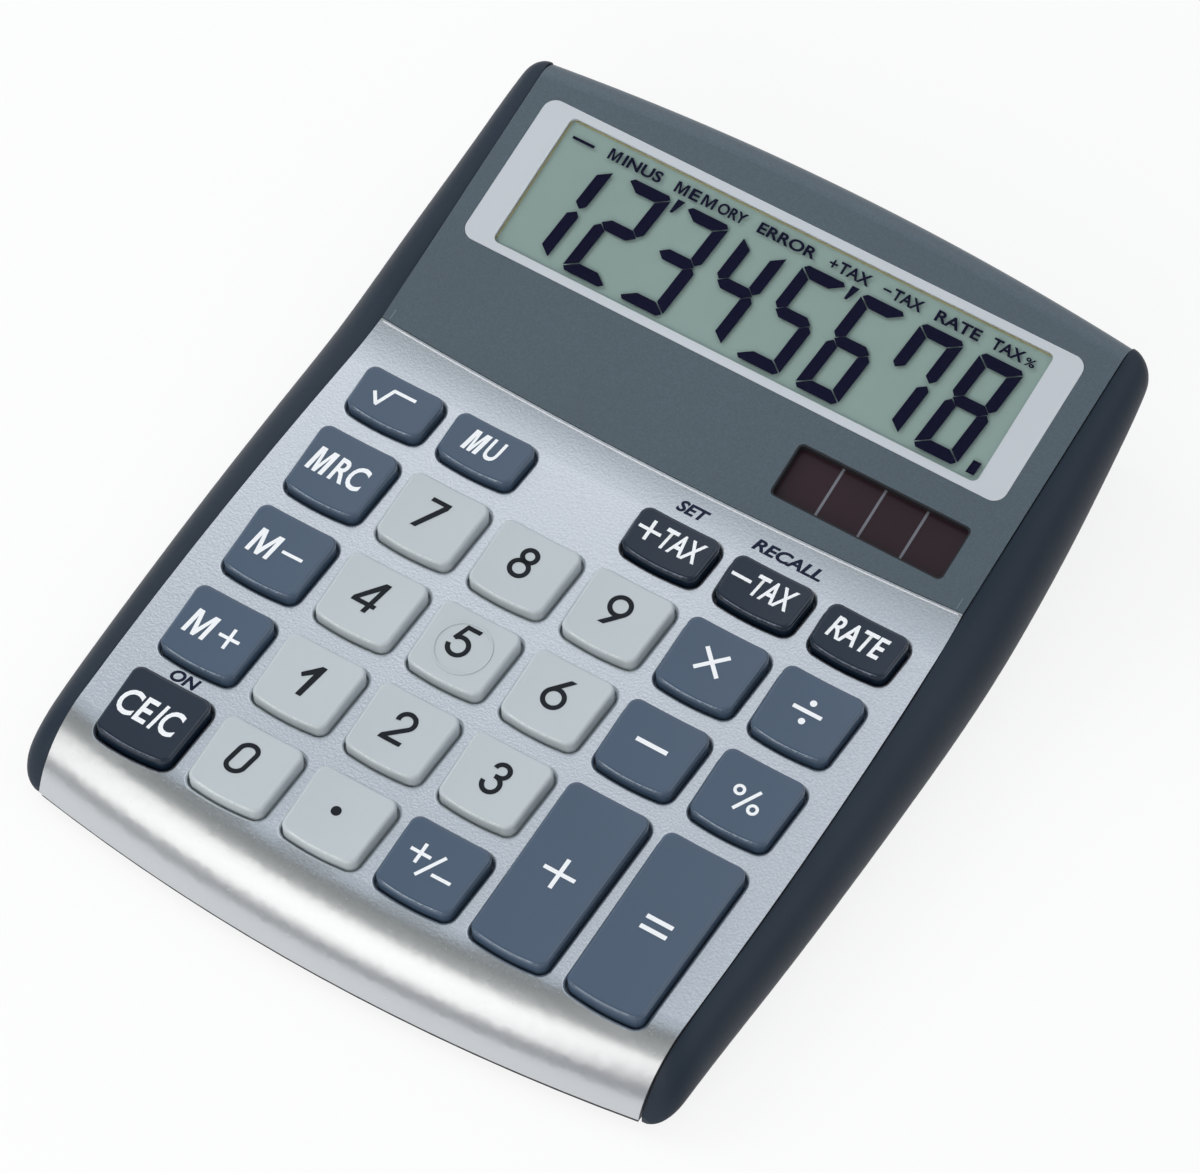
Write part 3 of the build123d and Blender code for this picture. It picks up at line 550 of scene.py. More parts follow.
@dataclass(frozen=True)
class Dot:
    """A round printed dot, or a ring where it has a hole."""

    centre: Point
    radius: float
    hole: float = 0.0

    def draw(self) -> bpy.types.Object:
        """Draws the dot in metres about the plane's origin.

        Returns:
            A flat mesh.
        """
        bpy.ops.object.select_all(action="DESELECT")
        bpy.ops.mesh.primitive_circle_add(vertices=ROUND_SIDES, radius=self.radius * MM, fill_type="NGON")
        dot = bpy.context.object
        if self.hole:
            bpy.ops.object.mode_set(mode="EDIT")
            bpy.ops.mesh.select_all(action="SELECT")
            bpy.ops.mesh.inset(thickness=(self.radius - self.hole) * MM)
            bpy.ops.mesh.delete(type="FACE")
            bpy.ops.object.mode_set(mode="OBJECT")
        return settle(dot, "dot", Matrix.Translation((self.centre[0] * MM, self.centre[1] * MM, 0)))


@dataclass(frozen=True)
class Outline:
    """A printed patch with straight sides."""

    corners: tuple[Point, ...]

    def draw(self) -> bpy.types.Object:
        """Draws the patch in metres about the plane's origin.

        Returns:
            A flat mesh.
        """
        bpy.ops.object.select_all(action="DESELECT")
        bpy.ops.mesh.primitive_circle_add(vertices=len(self.corners), radius=1.0, fill_type="NGON")
        patch = bpy.context.object
        for vertex, (x, y) in zip(patch.data.vertices, self.corners):
            vertex.co = (x * MM, y * MM, 0.0)
        patch.data.update()
        return settle(patch, "patch", Matrix())


def arc(
    centre: Point,
    radii: Point,
    start: float,
    end: float,
    lean: float = 0.0,
    steps: int = 40,
) -> tuple[Point, ...]:
    """Walks along an oval.

    Args:
        centre: Its middle.
        radii: Its half width and half height.
        start: Angle in degrees where the walk starts, from +X and turning left.
        end: Angle where it ends.
        lean: How far the oval leans for each millimetre up.
        steps: Number of steps.

    Returns:
        The points along it.
    """
    angles = [radians(start + (end - start) * step / steps) for step in range(steps + 1)]
    rises = [radii[1] * sin(angle) for angle in angles]
    return tuple(
        (centre[0] + radii[0] * cos(angle) + lean * rise, centre[1] + rise)
        for angle, rise in zip(angles, rises)
    )


@dataclass(frozen=True)
class Stroke:
    """A printed stroke of even thickness along a path, closed where its ends meet."""

    path: tuple[Point, ...]
    thickness: float

    def side(self, place: int) -> Vector:
        """Finds the way across the stroke at a point of its path.

        Args:
            place: Which point.

        Returns:
            A vector of length one.
        """
        last = len(self.path) - 1
        before, after = max(place - 1, 0), min(place + 1, last)
        ends = Vector(self.path[0]) - Vector(self.path[last])
        if ends.length < self.thickness / 20 and place in (0, last):
            before, after = last - 1, 1
        run_x = self.path[after][0] - self.path[before][0]
        run_y = self.path[after][1] - self.path[before][1]
        return Vector((-run_y, run_x)) / hypot(run_x, run_y)

    def draw(self) -> bpy.types.Object:
        """Draws the stroke in metres about the plane's origin.

        Returns:
            A flat mesh.
        """
        bpy.ops.object.select_all(action="DESELECT")
        bpy.ops.mesh.primitive_grid_add(x_subdivisions=len(self.path) - 1, y_subdivisions=1, size=2.0)
        strip = bpy.context.object
        order = sorted(strip.data.vertices, key=lambda vertex: (vertex.co.y > 0, vertex.co.x))
        count = len(self.path)
        for place, point in enumerate(self.path):
            across = self.side(place) * (self.thickness / 2)
            for vertex, way in ((order[place], -1), (order[place + count], 1)):
                x, y = Vector(point) + across * way
                vertex.co = (x * MM, y * MM, 0.0)
        strip.data.update()
        return settle(strip, "stroke", Matrix())


def letter_m(left: float, right: float, bottom: float, top: float, stem: float, lean: float) -> Outline:
    """Draws a capital M with straight strokes.

    Args:
        left: Left end of its foot.
        right: Right end of its head.
        bottom: Its foot.
        top: Its head.
        stem: Thickness of its stems.
        lean: How far it leans for each millimetre up.

    Returns:
        The letter's outline.
    """
    height = top - bottom
    width = right - left - lean * height
    middle = width / 2
    shape = [
        (0.0, 0.0), (0.0, height), (1.35 * stem, height), (middle, 0.34 * height),
        (width - 1.35 * stem, height), (width, height), (width, 0.0), (width - stem, 0.0),
        (width - stem, 0.74 * height), (middle + 0.42 * stem, 0.0), (middle - 0.42 * stem, 0.0),
        (stem, 0.74 * height), (stem, 0.0),
    ]
    return Outline(tuple((left + x + lean * y, bottom + y) for x, y in reversed(shape)))


Mark = Word | Bar | Dot | Outline | Stroke


@dataclass
class Print:
    """Marks printed together on one piece of the calculator."""

    name: str
    marks: list[Mark]
    paint: Paint
    plane: TiltedPlane
    height: float
    body: str
    slot: str
    carrier: str | None = None
    lift: float = 0.03
    shift: Point = (0.0, 0.0)

    def dress(self) -> None:
        """Draws the marks, lays them on their carrier and lets them ride with it."""
        sheet = joined([mark.draw() for mark in self.marks], self.name)
        settle(sheet, self.name, self.plane.matrix(*self.shift, self.height))
        select_only(sheet)
        bpy.ops.object.mode_set(mode="EDIT")
        bpy.ops.mesh.select_all(action="SELECT")
        bpy.ops.mesh.remove_doubles(threshold=MERGE_DISTANCE)
        bpy.ops.mesh.quads_convert_to_tris()
        bpy.ops.mesh.normals_make_consistent(inside=False)
        bpy.ops.object.mode_set(mode="OBJECT")
        if self.carrier:
            lay = sheet.modifiers.new("lay", "SHRINKWRAP")
            lay.target = frame["nodes"][self.carrier]
            lay.wrap_method = "PROJECT"
            lay.use_project_z = True
            lay.use_negative_direction = True
            lay.use_positive_direction = False
            lay.offset = self.lift * MM
            bpy.ops.object.modifier_apply(modifier=lay.name)
        sheet.data.materials.clear()
        sheet.data.materials.append(self.paint.value.material())
        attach(sheet, self.body)
        LOG.info("printed %s", self.name)


@dataclass
class KeyField:
    """The legends of all keys, drawn in the keypad plane in millimetres."""

    stroke: float = 0.62
    heavy: float = 0.68
    thin: float = 0.52
    digit_stroke: float = 0.72
    digit_lean: float = 0.18
    bold: float = 0.02
    stem: float = 0.66
    lean: float = 0.12
    short_key_lean: float = 0.18
    divide_dot: float = 0.5
    percent_ring: Point = (0.87, 0.42)
    decimal_dot: float = 0.75
    marks: dict[str, list[Mark]] = field(default_factory=dict)

    def add_digits(self) -> None:
        """Draws the ten digits."""
        t = self.digit_stroke
        lean = self.digit_lean
        zero_x, half_straight = -23.49, 1.18
        zero_radii, zero_steps = (1.29, 1.15), 20
        upper = arc((zero_x + lean * half_straight, -51.85), zero_radii, 0, 180, lean, zero_steps)
        lower = arc((zero_x - lean * half_straight, -54.21), zero_radii, 180, 360, lean, zero_steps)
        two = arc((-7.6, -36.72), (1.25, 1.25), 194, -49) + ((-9.5, -40.05),)
        three = arc((7.65, -36.53), (1.08, 1.04), 177, -90) + ((7.09, -37.6),)
        drawn: dict[int, list[Mark]] = {
            0: [Stroke(upper + lower + upper[:1], t)],
            1: [
                Outline((
                    (-23.16, -40.75), (-22.27, -40.75), (-21.33, -35.3), (-22.1, -35.3),
                    (-24.25, -37.5), (-23.85, -38.05), (-22.55, -37.0),
                )),
            ],
            2: [
                Stroke(two, t),
                Outline(((-9.94, -40.54), (-6.46, -40.54), (-6.36, -39.84), (-9.76, -39.84))),
            ],
            3: [Stroke(three, t), Stroke(arc((7.3, -38.9), (1.245, 1.29), 84, -185), t)],
            4: [
                Outline(((-22.89, -25.06), (-22.14, -25.06), (-21.11, -19.61), (-21.85, -19.61))),
                Outline(((-25.11, -24.04), (-21.36, -24.04), (-21.25, -23.34), (-25.0, -23.34))),
                Outline((
                    (-25.0, -23.34), (-24.07, -23.34), (-21.5, -20.3), (-21.3, -19.61), (-22.02, -19.61),
                )),
            ],
            5: [
                Outline((
                    (-9.78, -21.92), (-9.15, -22.15), (-8.85, -21.4), (-8.39, -20.04), (-8.2, -19.35),
                    (-8.82, -19.35),
                )),
                Outline(((-9.0, -20.04), (-6.6, -20.04), (-6.45, -19.35), (-8.82, -19.35))),
                Stroke(arc((-8.31, -22.88), (1.445, 1.455), 140, -177), t),
            ],
            6: [
                Stroke(arc((7.27, -23.14), (1.48, 1.48), 0, 360), t),
                Outline(((5.87, -21.95), (6.41, -22.43), (8.96, -19.58), (7.99, -19.58))),
            ],
            7: [
                Outline((
                    (-24.89, -9.6), (-23.98, -9.6), (-21.4, -5.2), (-21.21, -4.25), (-24.25, -4.25),
                    (-24.37, -4.94), (-22.21, -4.94),
                )),
            ],
            8: [
                Stroke(arc((-7.67, -5.6), (1.06, 1.035), 0, 360), t),
                Stroke(arc((-8.04, -7.9), (1.32, 1.265), 0, 360), t),
            ],
            9: [
                Stroke(arc((7.25, -5.99), (1.48, 1.48), 0, 360), t),
                Outline(((5.58, -9.48), (6.6, -9.48), (8.65, -7.18), (8.11, -6.7))),
            ],
        }
        for digit, marks in drawn.items():
            self.marks[f"key_digit_{digit}"] = marks

    def add_operators(self) -> None:
        """Draws the signs of the arithmetic keys."""
        t = self.stroke
        self.marks["key_times"] = [
            Bar((20.75, -8.95), (24.45, -5.25), t),
            Bar((20.75, -5.25), (24.45, -8.95), t),
        ]
        self.marks["key_divide"] = [
            Bar((35.5, -7.1), (40.0, -7.1), t),
            Dot((37.8, -5.55), self.divide_dot),
            Dot((37.8, -8.7), self.divide_dot),
        ]
        self.marks["key_minus"] = [Bar((20.2, -22.6), (25.1, -22.6), self.heavy)]
        self.marks["key_percent"] = [
            Dot((36.35, -22.25), *self.percent_ring),
            Dot((39.45, -24.05), *self.percent_ring),
            Bar((36.95, -25.15), (39.15, -21.15), self.thin),
        ]
        self.marks["key_plus"] = [
            Bar((20.25, -45.9), (25.15, -45.9), t),
            Bar((22.7, -48.4), (22.7, -43.4), t),
        ]
        self.marks["key_equals"] = [
            Bar((36.0, -45.2), (40.1, -45.2), self.heavy),
            Bar((36.0, -46.9), (40.1, -46.9), self.heavy),
        ]
        self.marks["key_sign_change"] = [
            Bar((3.6, -52.85), (6.8, -52.85), self.thin),
            Bar((5.2, -54.5), (5.2, -51.25), self.thin),
            Bar((6.2, -56.0), (8.6, -51.75), self.thin),
            Bar((8.15, -54.9), (11.2, -54.9), self.thin),
        ]
        self.marks["key_decimal_point"] = [Dot((-8.1, -53.3), self.decimal_dot)]

    def add_functions(self) -> None:
        """Draws the legends of the memory, clear, root, mark-up and tax keys."""
        t, bold, stem, lean, short_lean = self.thin, self.bold, self.stem, self.lean, self.short_key_lean
        self.marks["key_memory_recall"] = [
            letter_m(-42.55, -39.2, -9.3, -5.2, stem, lean),
            Word("RC", -38.9, -33.65, -9.3, -5.2, bold, lean),
        ]
        self.marks["key_memory_minus"] = [
            letter_m(-42.1, -38.0, -24.85, -20.7, stem, lean),
            Bar((-37.3, -22.6), (-34.0, -22.6), t),
        ]
        self.marks["key_memory_plus"] = [
            letter_m(-42.2, -38.2, -40.3, -36.2, stem, lean),
            Bar((-37.25, -38.2), (-33.95, -38.2), t),
            Bar((-35.55, -39.95), (-35.55, -36.5), t),
        ]
        self.marks["key_clear"] = [
            Word("CE", -43.0, -37.65, -55.7, -51.5, bold, lean),
            Bar((-37.15, -55.75), (-36.45, -51.45), t),
            Word("C", -36.2, -33.3, -55.7, -51.5, bold, lean),
        ]
        self.marks["key_square_root"] = [
            Bar((-41.1, 6.45), (-39.85, 4.65), t),
            Bar((-39.95, 4.55), (-38.6, 7.8), t),
            Bar((-38.75, 7.75), (-35.1, 7.75), t),
        ]
        self.marks["key_mark_up"] = [
            letter_m(-25.9, -22.7, 4.75, 8.35, stem, short_lean),
            Word("U", -22.5, -20.1, 4.75, 8.35, bold, short_lean),
        ]
        self.marks["key_tax_plus"] = [
            Bar((2.3, 6.7), (5.8, 6.7), t),
            Bar((4.05, 5.0), (4.05, 8.4), t),
            Word("TAX", 6.05, 12.45, 4.95, 8.45, bold, short_lean),
        ]
        self.marks["key_tax_minus"] = [
            Bar((17.3, 6.7), (20.4, 6.7), t),
            Word("TAX", 20.8, 27.2, 4.95, 8.5, bold, short_lean),
        ]
        self.marks["key_tax_rate"] = [Word("RATE", 33.2, 41.8, 4.85, 8.4, bold, short_lean)]

    def dress(self) -> None:
        """Prints every legend on its key."""
        self.add_digits()
        self.add_operators()
        self.add_functions()
        for key, marks in self.marks.items():
            slot, body = SLOTS[key], f"{key}_cap"
            paint = Paint.LEGEND_BLACK if slot == "light_key" else Paint.LEGEND_WHITE
            Print(f"legend_{key}", marks, paint, KEYPAD, ABOVE_KEYS, body, slot, key).dress()


@dataclass
class KeyHighlights:
    """Painted highlights: thin pale lines along the rounded front edges of the keys, where these edges would
    catch the light.
    """

    column_pitch: float = 15.1
    middle_column: float = 3.5
    half_width: float = 4.9
    bow: float = 0.34
    inset: float = 0.3
    line: float = 0.16
    lift: float = 0.012
    steps: int = 12
    rows: tuple[tuple[float, tuple[str, ...]], ...] = (
        (-59.7, ("clear", "digit_0", "decimal_point", "sign_change", "plus", "equals")),
        (-44.28, ("memory_plus", "digit_1", "digit_2", "digit_3")),
        (-28.86, ("memory_minus", "digit_4", "digit_5", "digit_6", "minus", "percent")),
        (-13.44, ("memory_recall", "digit_7", "digit_8", "digit_9", "times", "divide")),
        (2.1, ("square_root", "mark_up", "", "tax_plus", "tax_minus", "tax_rate")),
    )

    def edge(self, column: int, front: float) -> Stroke:
        """Draws the line of one key.

        Args:
            column: Column from 1 at the left.
            front: Place of the key's front up the slope.

        Returns:
            The line.
        """
        middle = (column - self.middle_column) * self.column_pitch
        shares = [2 * step / self.steps - 1 for step in range(self.steps + 1)]
        low = front + self.inset
        path = [(middle + share * self.half_width, low + self.bow * share**2) for share in shares]
        return Stroke(tuple(path), self.line)

    def dress(self) -> None:
        """Draws the line of every key."""
        # Painted highlights, each a paler shade of its key's colour.
        paints = {
            "light_key": Paint.LIGHT_KEY_EDGE,
            "slate_key": Paint.SLATE_KEY_EDGE,
            "navy_key": Paint.NAVY_KEY_EDGE,
        }
        places = [
            (f"key_{name}", column, front)
            for front, names in self.rows
            for column, name in enumerate(names, 1)
            if name
        ]
        for key, column, front in places:
            line: list[Mark] = [self.edge(column, front)]
            slot, body = SLOTS[key], f"{key}_cap"
            paint = paints[slot]
            Print(f"edge_{key}", line, paint, KEYPAD, ABOVE_KEYS, body, slot, key, self.lift).dress()


@dataclass
class PlatePrint:
    """The words printed on the silver plate beside the keys."""

    lean: float = 0.22
    weight: float = 0.034
    carrier: str = "keypad_plate"

    def dress(self) -> None:
        """Prints the words."""
        words: list[Mark] = [
            Word("ON", -39.95, -35.5, -46.95, -45.0, self.weight, self.lean),
            Word("SET", 4.55, 9.4, 12.35, 14.25, self.weight, self.lean),
            Word("RECALL", 16.85, 27.8, 12.35, 14.25, self.weight, self.lean),
        ]
        ink = Paint.LEGEND_NAVY
        Print("plate_words", words, ink, KEYPAD, ABOVE_PLATE, CASE, "silver_skin", self.carrier).dress()


@dataclass
class EdgeHighlights:
    """Painted highlights: thin pale lines where the edges of the plate and the panel would catch the light.
    """

    seam_half_width: float = 47.0
    seam_middle_v: float = 15.95
    seam_bow: float = 1.45
    seam_line: float = 0.22
    seam_steps: int = 24
    panel_side: float = 46.3
    panel_low: float = 1.2
    panel_high: float = 46.5
    panel_line: float = 0.1
    plate: str = "keypad_plate"
    panel: str = "display_panel"

    def seam_point(self, share: float) -> Point:
        """Finds a point along the bowed seam.

        Args:
            share: Place along the seam, from 0 at the left to 1 at the right.

        Returns:
            The point in the keypad plane.
        """
        across = 2 * share - 1
        return across * self.seam_half_width, self.seam_middle_v + self.seam_bow * across**2

    def dress(self) -> None:
        """Draws the lines on the plate and the panel."""
        # Painted highlight along the seam between the plate and the panel.
        points = [self.seam_point(step / self.seam_steps) for step in range(self.seam_steps + 1)]
        seam: list[Mark] = [Bar(start, end, self.seam_line) for start, end in zip(points, points[1:])]
        edge_highlight = Paint.SILVER_EDGE
        Print("seam_line", seam, edge_highlight, KEYPAD, ABOVE_PLATE, CASE, "silver_skin", self.plate).dress()
        # Painted highlights along both sides of the panel.
        sides: list[Mark] = [
            Bar((x, self.panel_low), (x, self.panel_high), self.panel_line)
            for x in (-self.panel_side, self.panel_side)
        ]
        edge_highlight = Paint.SLATE_EDGE
        Print("panel_lines", sides, edge_highlight, PANEL, ABOVE_PANEL, CASE, "slate_skin", self.panel).dress()


class Segment(Enum):
    """The seven strokes of a display digit."""

    TOP = "a"
    UPPER_RIGHT = "b"
    LOWER_RIGHT = "c"
    BOTTOM = "d"
    LOWER_LEFT = "e"
    UPPER_LEFT = "f"
    MIDDLE = "g"


LIT: dict[str, str] = {
    "1": "bc",
    "2": "abged",
    "3": "abgcd",
    "4": "fgbc",
    "5": "afgcd",
    "6": "afgedc",
    "7": "fabc",
    "8": "abcdefg",
}


@dataclass
class LcdImage:
    """The number and the small words that the display shows, in the panel's plane in millimetres."""

    bottom: float = 19.2
    top: float = 36.1
    middle: float = 28.1
    width: float = 7.0
    thickness: float = 1.85
    gap: float = 0.13
    slant: float = 0.095
    pitch: float = 9.58
    first_left: float = -39.0
    height: float = -0.2
    shift: Point = (0.18, -0.16)
    window_left: float = -39.9
    window_right: float = 39.15
    window_low: float = 18.2
    window_high: float = 40.0
    # Width of the painted shade along the cell's top and left edges.
    edge: float = 0.3
    cell_height: float = -0.57
    corner_cut: float = 0.55
    middle_end: float = 0.5
    middle_taper: float = 0.95
    notch_across: float = 0.2
    notch_up: float = 0.1
    words_low: float = 37.05
    words_high: float = 38.85
    words_weight: float = 0.028
    letter_stem: float = 0.38
    percent_high: float = 38.35
    percent_weight: float = 0.022
    sign_level: float = 37.95
    sign_line: float = 0.3
    minus_line: float = 0.45

    def show(self, name: str, marks: list[Mark]) -> None:
        """Lights up marks just above the cell, so that they throw a soft shadow on it.

        Args:
            name: Name of the print.
            marks: What it shows.
        """
        Print(name, marks, Paint.SEGMENT, PANEL, self.height, CASE, "lcd_glass", shift=self.shift).dress()

    def lean(self, x: float, v: float) -> Point:
        """Slants a point of a digit.

        Args:
            x: Place across, upright.
            v: Place up the slope.

        Returns:
            The slanted place.
        """
        return x + (v - self.bottom) * self.slant, v

    def level_stroke(self, left: float, end: float, inward: int) -> list[Point]:
        """Draws the stroke along the head or the foot of a digit.

        Args:
            left: Left side of the digit.
            end: Its head or its foot.
            inward: The way to its middle, 1 for up and -1 for down.

        Returns:
            The stroke's corners.
        """
        t, g, cut, right = self.thickness, self.gap, self.corner_cut, left + self.width
        corners = [
            (left + cut + g, end),
            (right - cut - g, end),
            (right - g, end + inward * cut),
            (right - t - g, end + inward * t),
            (left + t + g, end + inward * t),
            (left + g, end + inward * cut),
        ]
        return corners if inward < 0 else [corners[0], *reversed(corners[1:])]

    def upright_stroke(self, side: float, across: int, end: float, inward: int) -> list[Point]:
        """Draws one of the four upright strokes of a digit.

        Args:
            side: Side of the digit.
            across: The way to its middle, 1 for right and -1 for left.
            end: Its head or its foot.
            inward: The way to its middle, 1 for up and -1 for down.

        Returns:
            The stroke's corners.
        """
        t, g, half = self.thickness, self.gap, self.thickness / 2
        corners = [
            (side, end + inward * (self.corner_cut + g)),
            (side + across * t, end + inward * (t + g)),
            (side + across * t, self.middle - inward * (half + g)),
            (side + across * (half - self.notch_across), self.middle - inward * (g + self.notch_up)),
            (side, self.middle - inward * half),
        ]
        return corners if across * inward < 0 else [corners[0], *reversed(corners[1:])]

    def middle_stroke(self, left: float) -> list[Point]:
        """Draws the stroke across the middle of a digit.

        Args:
            left: Left side of the digit.

        Returns:
            The stroke's corners.
        """
        right, mid, half = left + self.width, self.middle, self.thickness / 2
        tip, taper = self.gap + self.middle_end, self.thickness * self.middle_taper
        return [
            (left + tip, mid),
            (left + taper, mid + half),
            (right - taper, mid + half),
            (right - tip, mid),
            (right - taper, mid - half),
            (left + taper, mid - half),
        ]

    def segment(self, kind: Segment, left: float) -> Outline:
        """Draws one stroke of a digit.

        Args:
            kind: Which stroke.
            left: Left side of the digit.

        Returns:
            The stroke's outline.
        """
        right = left + self.width
        shapes: dict[Segment, list[Point]] = {
            Segment.TOP: self.level_stroke(left, self.top, -1),
            Segment.BOTTOM: self.level_stroke(left, self.bottom, 1),
            Segment.MIDDLE: self.middle_stroke(left),
            Segment.UPPER_LEFT: self.upright_stroke(left, 1, self.top, -1),
            Segment.LOWER_LEFT: self.upright_stroke(left, 1, self.bottom, 1),
            Segment.UPPER_RIGHT: self.upright_stroke(right, -1, self.top, -1),
            Segment.LOWER_RIGHT: self.upright_stroke(right, -1, self.bottom, 1),
        }
        return Outline(tuple(self.lean(x, v) for x, v in shapes[kind]))

    def show_number(self) -> None:
        """Lights up the number with its thousands marks and its point."""
        marks: list[Mark] = []
        for place, digit in enumerate("12345678"):
            left = self.first_left + place * self.pitch
            marks += [self.segment(kind, left) for kind in Segment if kind.value in LIT[digit]]
        for left in (-20.25, 8.45):
            marks.append(Outline(((left, 34.0), (left + 0.45, 34.0), (left + 1.3, 36.3), (left + 0.1, 36.3))))
        marks.append(Outline(((36.75, 19.2), (38.05, 19.2), (38.2, 21.3), (36.9, 21.3))))
        self.show("lcd_number", marks)

    def show_words(self) -> None:
        """Lights up the small words and signs above the number."""
        low, high, level = self.words_low, self.words_high, self.sign_level
        spans = [
            ("INUS", -30.2, -23.9),
            ("E", -19.1, -17.55),
            ("ORY", -14.45, -9.9),
            ("ERROR", -7.8, 1.6),
            ("TAX", 5.4, 10.5),
            ("TAX", 14.2, 19.0),
            ("RATE", 21.2, 28.3),
            ("TAX", 30.2, 35.3),
        ]
        words: list[Mark] = [
            Word(letters, left, right, low, high, self.words_weight, 0.0) for letters, left, right in spans
        ]
        words.append(Word("%", 35.6, 37.2, low, self.percent_high, self.percent_weight, 0.0))
        words += [
            letter_m(left, right, low, high, self.letter_stem, 0.0)
            for left, right in ((-32.6, -30.75), (-21.5, -19.55), (-17.05, -15.0))
        ]
        words += [
            Bar((-38.6, 37.65), (-35.0, 37.65), self.minus_line),
            Bar((3.85, level), (5.15, level), self.sign_line),
            Bar((4.5, 37.3), (4.5, 38.6), self.sign_line),
            Bar((12.6, level), (13.9, level), self.sign_line),
        ]
        self.show("lcd_words", words)

    def dress(self) -> None:
        """Draws the number, the small words and a painted shade along the top and left edges of the cell."""
        self.show_number()
        self.show_words()
        left, high = self.window_left, self.window_high
        # Painted shade along the top and left edges of the cell, where the bezel's rim shades it.
        edges: list[Mark] = [
            Bar((left, self.window_low), (left, high), self.edge),
            Bar((left, high), (self.window_right, high), self.edge),
        ]
        Print("lcd_edge_shade", edges, Paint.LCD_EDGE, PANEL, self.cell_height, CASE, "lcd_glass").dress()


@dataclass
class SolarStrips:
    """The pale dividers between the four strips of the solar cell."""

    left: float = 14.93
    width: float = 27.15
    low: float = 3.47
    high: float = 11.77
    line: float = 0.4
    height: float = -1.22

    def dress(self) -> None:
        """Draws the three dividers on the cell."""
        places = [self.left + self.width * share for share in (0.25, 0.5, 0.75)]
        lines: list[Mark] = [Bar((x, self.low), (x, self.high), self.line) for x in places]
        Print("solar_dividers", lines, Paint.SOLAR_LINE, PANEL, self.height, CASE, "solar_glass").dress()


@dataclass
class CaseDress:
    """Finishes of the carried-over nodes."""

    by_slot: dict[str, Paint] = field(
        default_factory=lambda: {
            "silver_skin": Paint.SILVER,
            "slate_skin": Paint.SLATE,
            "rail_plastic": Paint.RAIL,
            "bezel_plastic": Paint.BEZEL,
            "clear_window": Paint.WINDOW,
            "lcd_glass": Paint.LCD,
            "reflector_film": Paint.METAL,
            "dark_rubber": Paint.RUBBER,
            "dark_plastic": Paint.DARK,
            "board": Paint.BOARD,
            "solar_glass": Paint.SOLAR,
            "plated_metal": Paint.METAL,
            "mat_rubber": Paint.MAT,
            "ribbon": Paint.RIBBON,
            "light_key": Paint.LIGHT_KEY,
            "slate_key": Paint.SLATE_KEY,
            "navy_key": Paint.NAVY_KEY,
        }
    )

    def dress(self) -> None:
        """Gives each node the finish of its slot."""
        for name, slot in SLOTS.items():
            node = frame["nodes"][name]
            finish = self.by_slot[slot].value.material()
            for place in node.material_slots:
                place.material = finish
            if not node.material_slots:
                node.data.materials.append(finish)
            LOG.info("dressed %s", name)


@dataclass(frozen=True)
class SoftLight:
    """A soft square light: its places and its side in metres, its power in watts and what shows it."""

    name: str
    place: Triple
    side: float
    power: float
    colour: Colour = (1.0, 1.0, 1.0)
    aim: Triple = (0.0, 0.0, 0.0)
    on_gloss: bool = True
    on_dull: bool = True
    on_camera: bool = True

    def hang(self) -> None:
        """Hangs the light."""
        lamp = bpy.data.lights.new(self.name, "AREA")
        lamp.color = self.colour
        lamp.size = self.side
        lamp.energy = self.power
        holder = bpy.data.objects.new(self.name, lamp)
        holder.location = self.place
        holder.rotation_euler = (Vector(self.aim) - Vector(self.place)).to_track_quat("-Z", "Y").to_euler()
        holder.visible_glossy = self.on_gloss
        holder.visible_diffuse = self.on_dull
        holder.visible_camera = self.on_camera
        bpy.context.scene.collection.objects.link(holder)


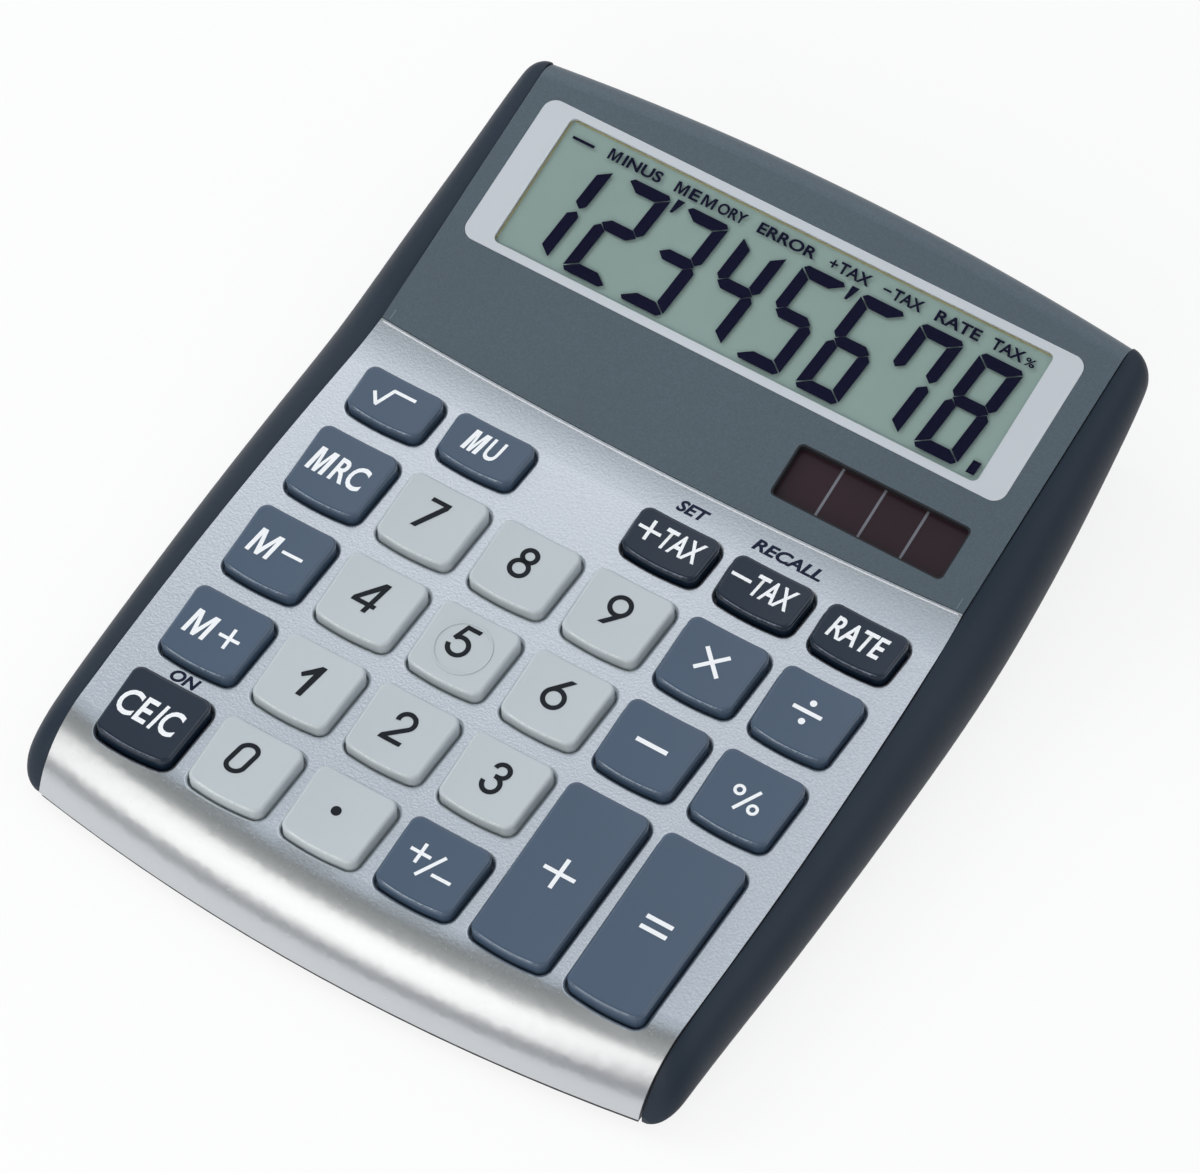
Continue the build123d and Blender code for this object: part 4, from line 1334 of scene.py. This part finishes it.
@dataclass
class Studio:
    """The white floor, the soft lights and the camera."""

    camera_place: Triple = (275.25, -433.86, 752.66)
    camera_right: Triple = (0.84563, 0.53377, 0.0)
    camera_up: Triple = (-0.43908, 0.69562, 0.56862)
    camera_back: Triple = (0.30351, -0.48084, 0.82260)
    lens: float = 196.5
    sensor_width: float = 36.0
    sight: float = 20.0
    floor_half: float = 3.0
    floor_colour: Colour = (0.88, 0.88, 0.88)
    floor_roughness: float = 0.9
    floor_glow_share: float = 0.84
    floor_glow_on_gloss: float = 0.66
    # Soft lights all round, and a card behind that only gloss shows.
    lights: tuple[SoftLight, ...] = (
        SoftLight("key_light", (-1.0, 0.1, 0.8), 0.7, 7.4, on_gloss=False),
        SoftLight("front_light", (-0.33, -0.82, 0.64), 0.72, 1.55, (1.0, 0.97, 0.91)),
        SoftLight("front_fill", (0.1, -1.0, 0.45), 0.8, 5.2, on_gloss=False),
        SoftLight("right_light", (1.0, 0.3, 1.2), 1.4, 3.0),
        SoftLight(
            "rear_card",
            (-0.26, 0.29, 0.3),
            0.38,
            0.1,
            (1.0, 0.98, 0.96),
            aim=(-0.26, 0.29, 0.0),
            on_dull=False,
            on_camera=False,
        ),
    )
    # Colours of the room by direction, from -1 in front to 1 behind.
    room: tuple[tuple[float, Colour], ...] = (
        (-1.0, (0.27, 0.27, 0.28)),
        (-0.7, (0.34, 0.34, 0.34)),
        (-0.3, (0.32, 0.32, 0.31)),
        (-0.16, (0.22, 0.23, 0.22)),
        (0.02, (0.16, 0.17, 0.17)),
        (0.12, (0.39, 0.43, 0.46)),
        (0.21, (0.52, 0.57, 0.63)),
        (0.3, (0.39, 0.44, 0.49)),
        (0.4, (0.53, 0.57, 0.63)),
        (0.5, (0.70, 0.73, 0.80)),
        (0.6, (0.76, 0.78, 0.84)),
        (1.0, (0.64, 0.66, 0.70)),
    )

    def add_floor(self) -> None:
        """Lays a white floor that shows white to the camera and keeps a soft shadow."""
        bpy.ops.object.select_all(action="DESELECT")
        bpy.ops.mesh.primitive_plane_add(size=2 * self.floor_half)
        floor = bpy.context.object
        floor.name = "studio_floor"
        material = bpy.data.materials.new("studio_floor_white")
        material.use_nodes = True
        tree = material.node_tree
        paint = tree.nodes["Principled BSDF"]
        paint.inputs["Base Color"].default_value = (*self.floor_colour, 1.0)
        paint.inputs["Roughness"].default_value = self.floor_roughness
        ray = add_node(tree, "ShaderNodeLightPath").outputs
        dim = add_node(tree, "ShaderNodeMapRange", {"To Min": 1.0, "To Max": self.floor_glow_on_gloss})
        glow = add_node(tree, "ShaderNodeEmission")
        feed(ray["Is Glossy Ray"], dim.inputs["Value"])
        feed(dim.outputs["Result"], glow.inputs["Strength"])
        mirrored = add_math(tree, "MAXIMUM", ray["Is Glossy Ray"], ray["Is Transmission Ray"])
        seen = add_math(tree, "MAXIMUM", ray["Is Camera Ray"], mirrored)
        share = add_math(tree, "MULTIPLY", seen, self.floor_glow_share)
        blend_surfaces(tree, share, paint.outputs["BSDF"], glow.outputs["Emission"])
        floor.data.materials.append(material)

    def add_world(self) -> None:
        """Fills the room with soft light: warm in front, dim overhead and cool behind."""
        world = bpy.data.worlds.new("studio_air")
        world.use_nodes = True
        tree = world.node_tree
        parts = add_node(tree, "ShaderNodeSeparateXYZ")
        reach = add_node(tree, "ShaderNodeMapRange", {"From Min": -1.0})
        ramp = add_node(tree, "ShaderNodeValToRGB")
        stops = ramp.color_ramp.elements
        for y, colour in self.room[1:-1]:
            stops.new((y + 1) / 2).color = (*colour, 1.0)
        stops[0].color = (*self.room[0][1], 1.0)
        stops[len(stops) - 1].color = (*self.room[-1][1], 1.0)
        feed(add_node(tree, "ShaderNodeTexCoord").outputs["Generated"], parts.inputs["Vector"])
        feed(parts.outputs["Y"], reach.inputs["Value"])
        feed(reach.outputs["Result"], ramp.inputs["Fac"])
        feed(ramp.outputs["Color"], tree.nodes["Background"].inputs["Color"])
        bpy.context.scene.world = world

    def add_camera(self) -> None:
        """Sets the camera where the photograph was taken from."""
        lens = bpy.data.cameras.new("photo_camera")
        lens.lens = self.lens
        lens.sensor_fit = "HORIZONTAL"
        lens.sensor_width = self.sensor_width
        lens.clip_end = self.sight
        camera = bpy.data.objects.new("photo_camera", lens)
        axes = Matrix((self.camera_right, self.camera_up, self.camera_back)).transposed().to_4x4()
        camera.matrix_world = Matrix.Translation(Vector(self.camera_place) * MM) @ axes
        bpy.context.scene.collection.objects.link(camera)
        bpy.context.scene.camera = camera

    def build(self) -> None:
        """Builds the whole studio."""
        self.add_floor()
        self.add_world()
        for light in self.lights:
            light.hang()
        self.add_camera()
        bpy.context.scene.view_settings.view_transform = "Standard"
        LOG.info("built the studio")


def main() -> None:
    """Dresses the calculator and builds its studio."""
    logging.basicConfig(level=logging.INFO, format="%(name)s: %(message)s")
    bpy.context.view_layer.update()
    CaseDress().dress()
    KeyField().dress()
    KeyHighlights().dress()
    PlatePrint().dress()
    EdgeHighlights().dress()
    LcdImage().dress()
    SolarStrips().dress()
    Studio().build()


if __name__ == "__main__":
    main()
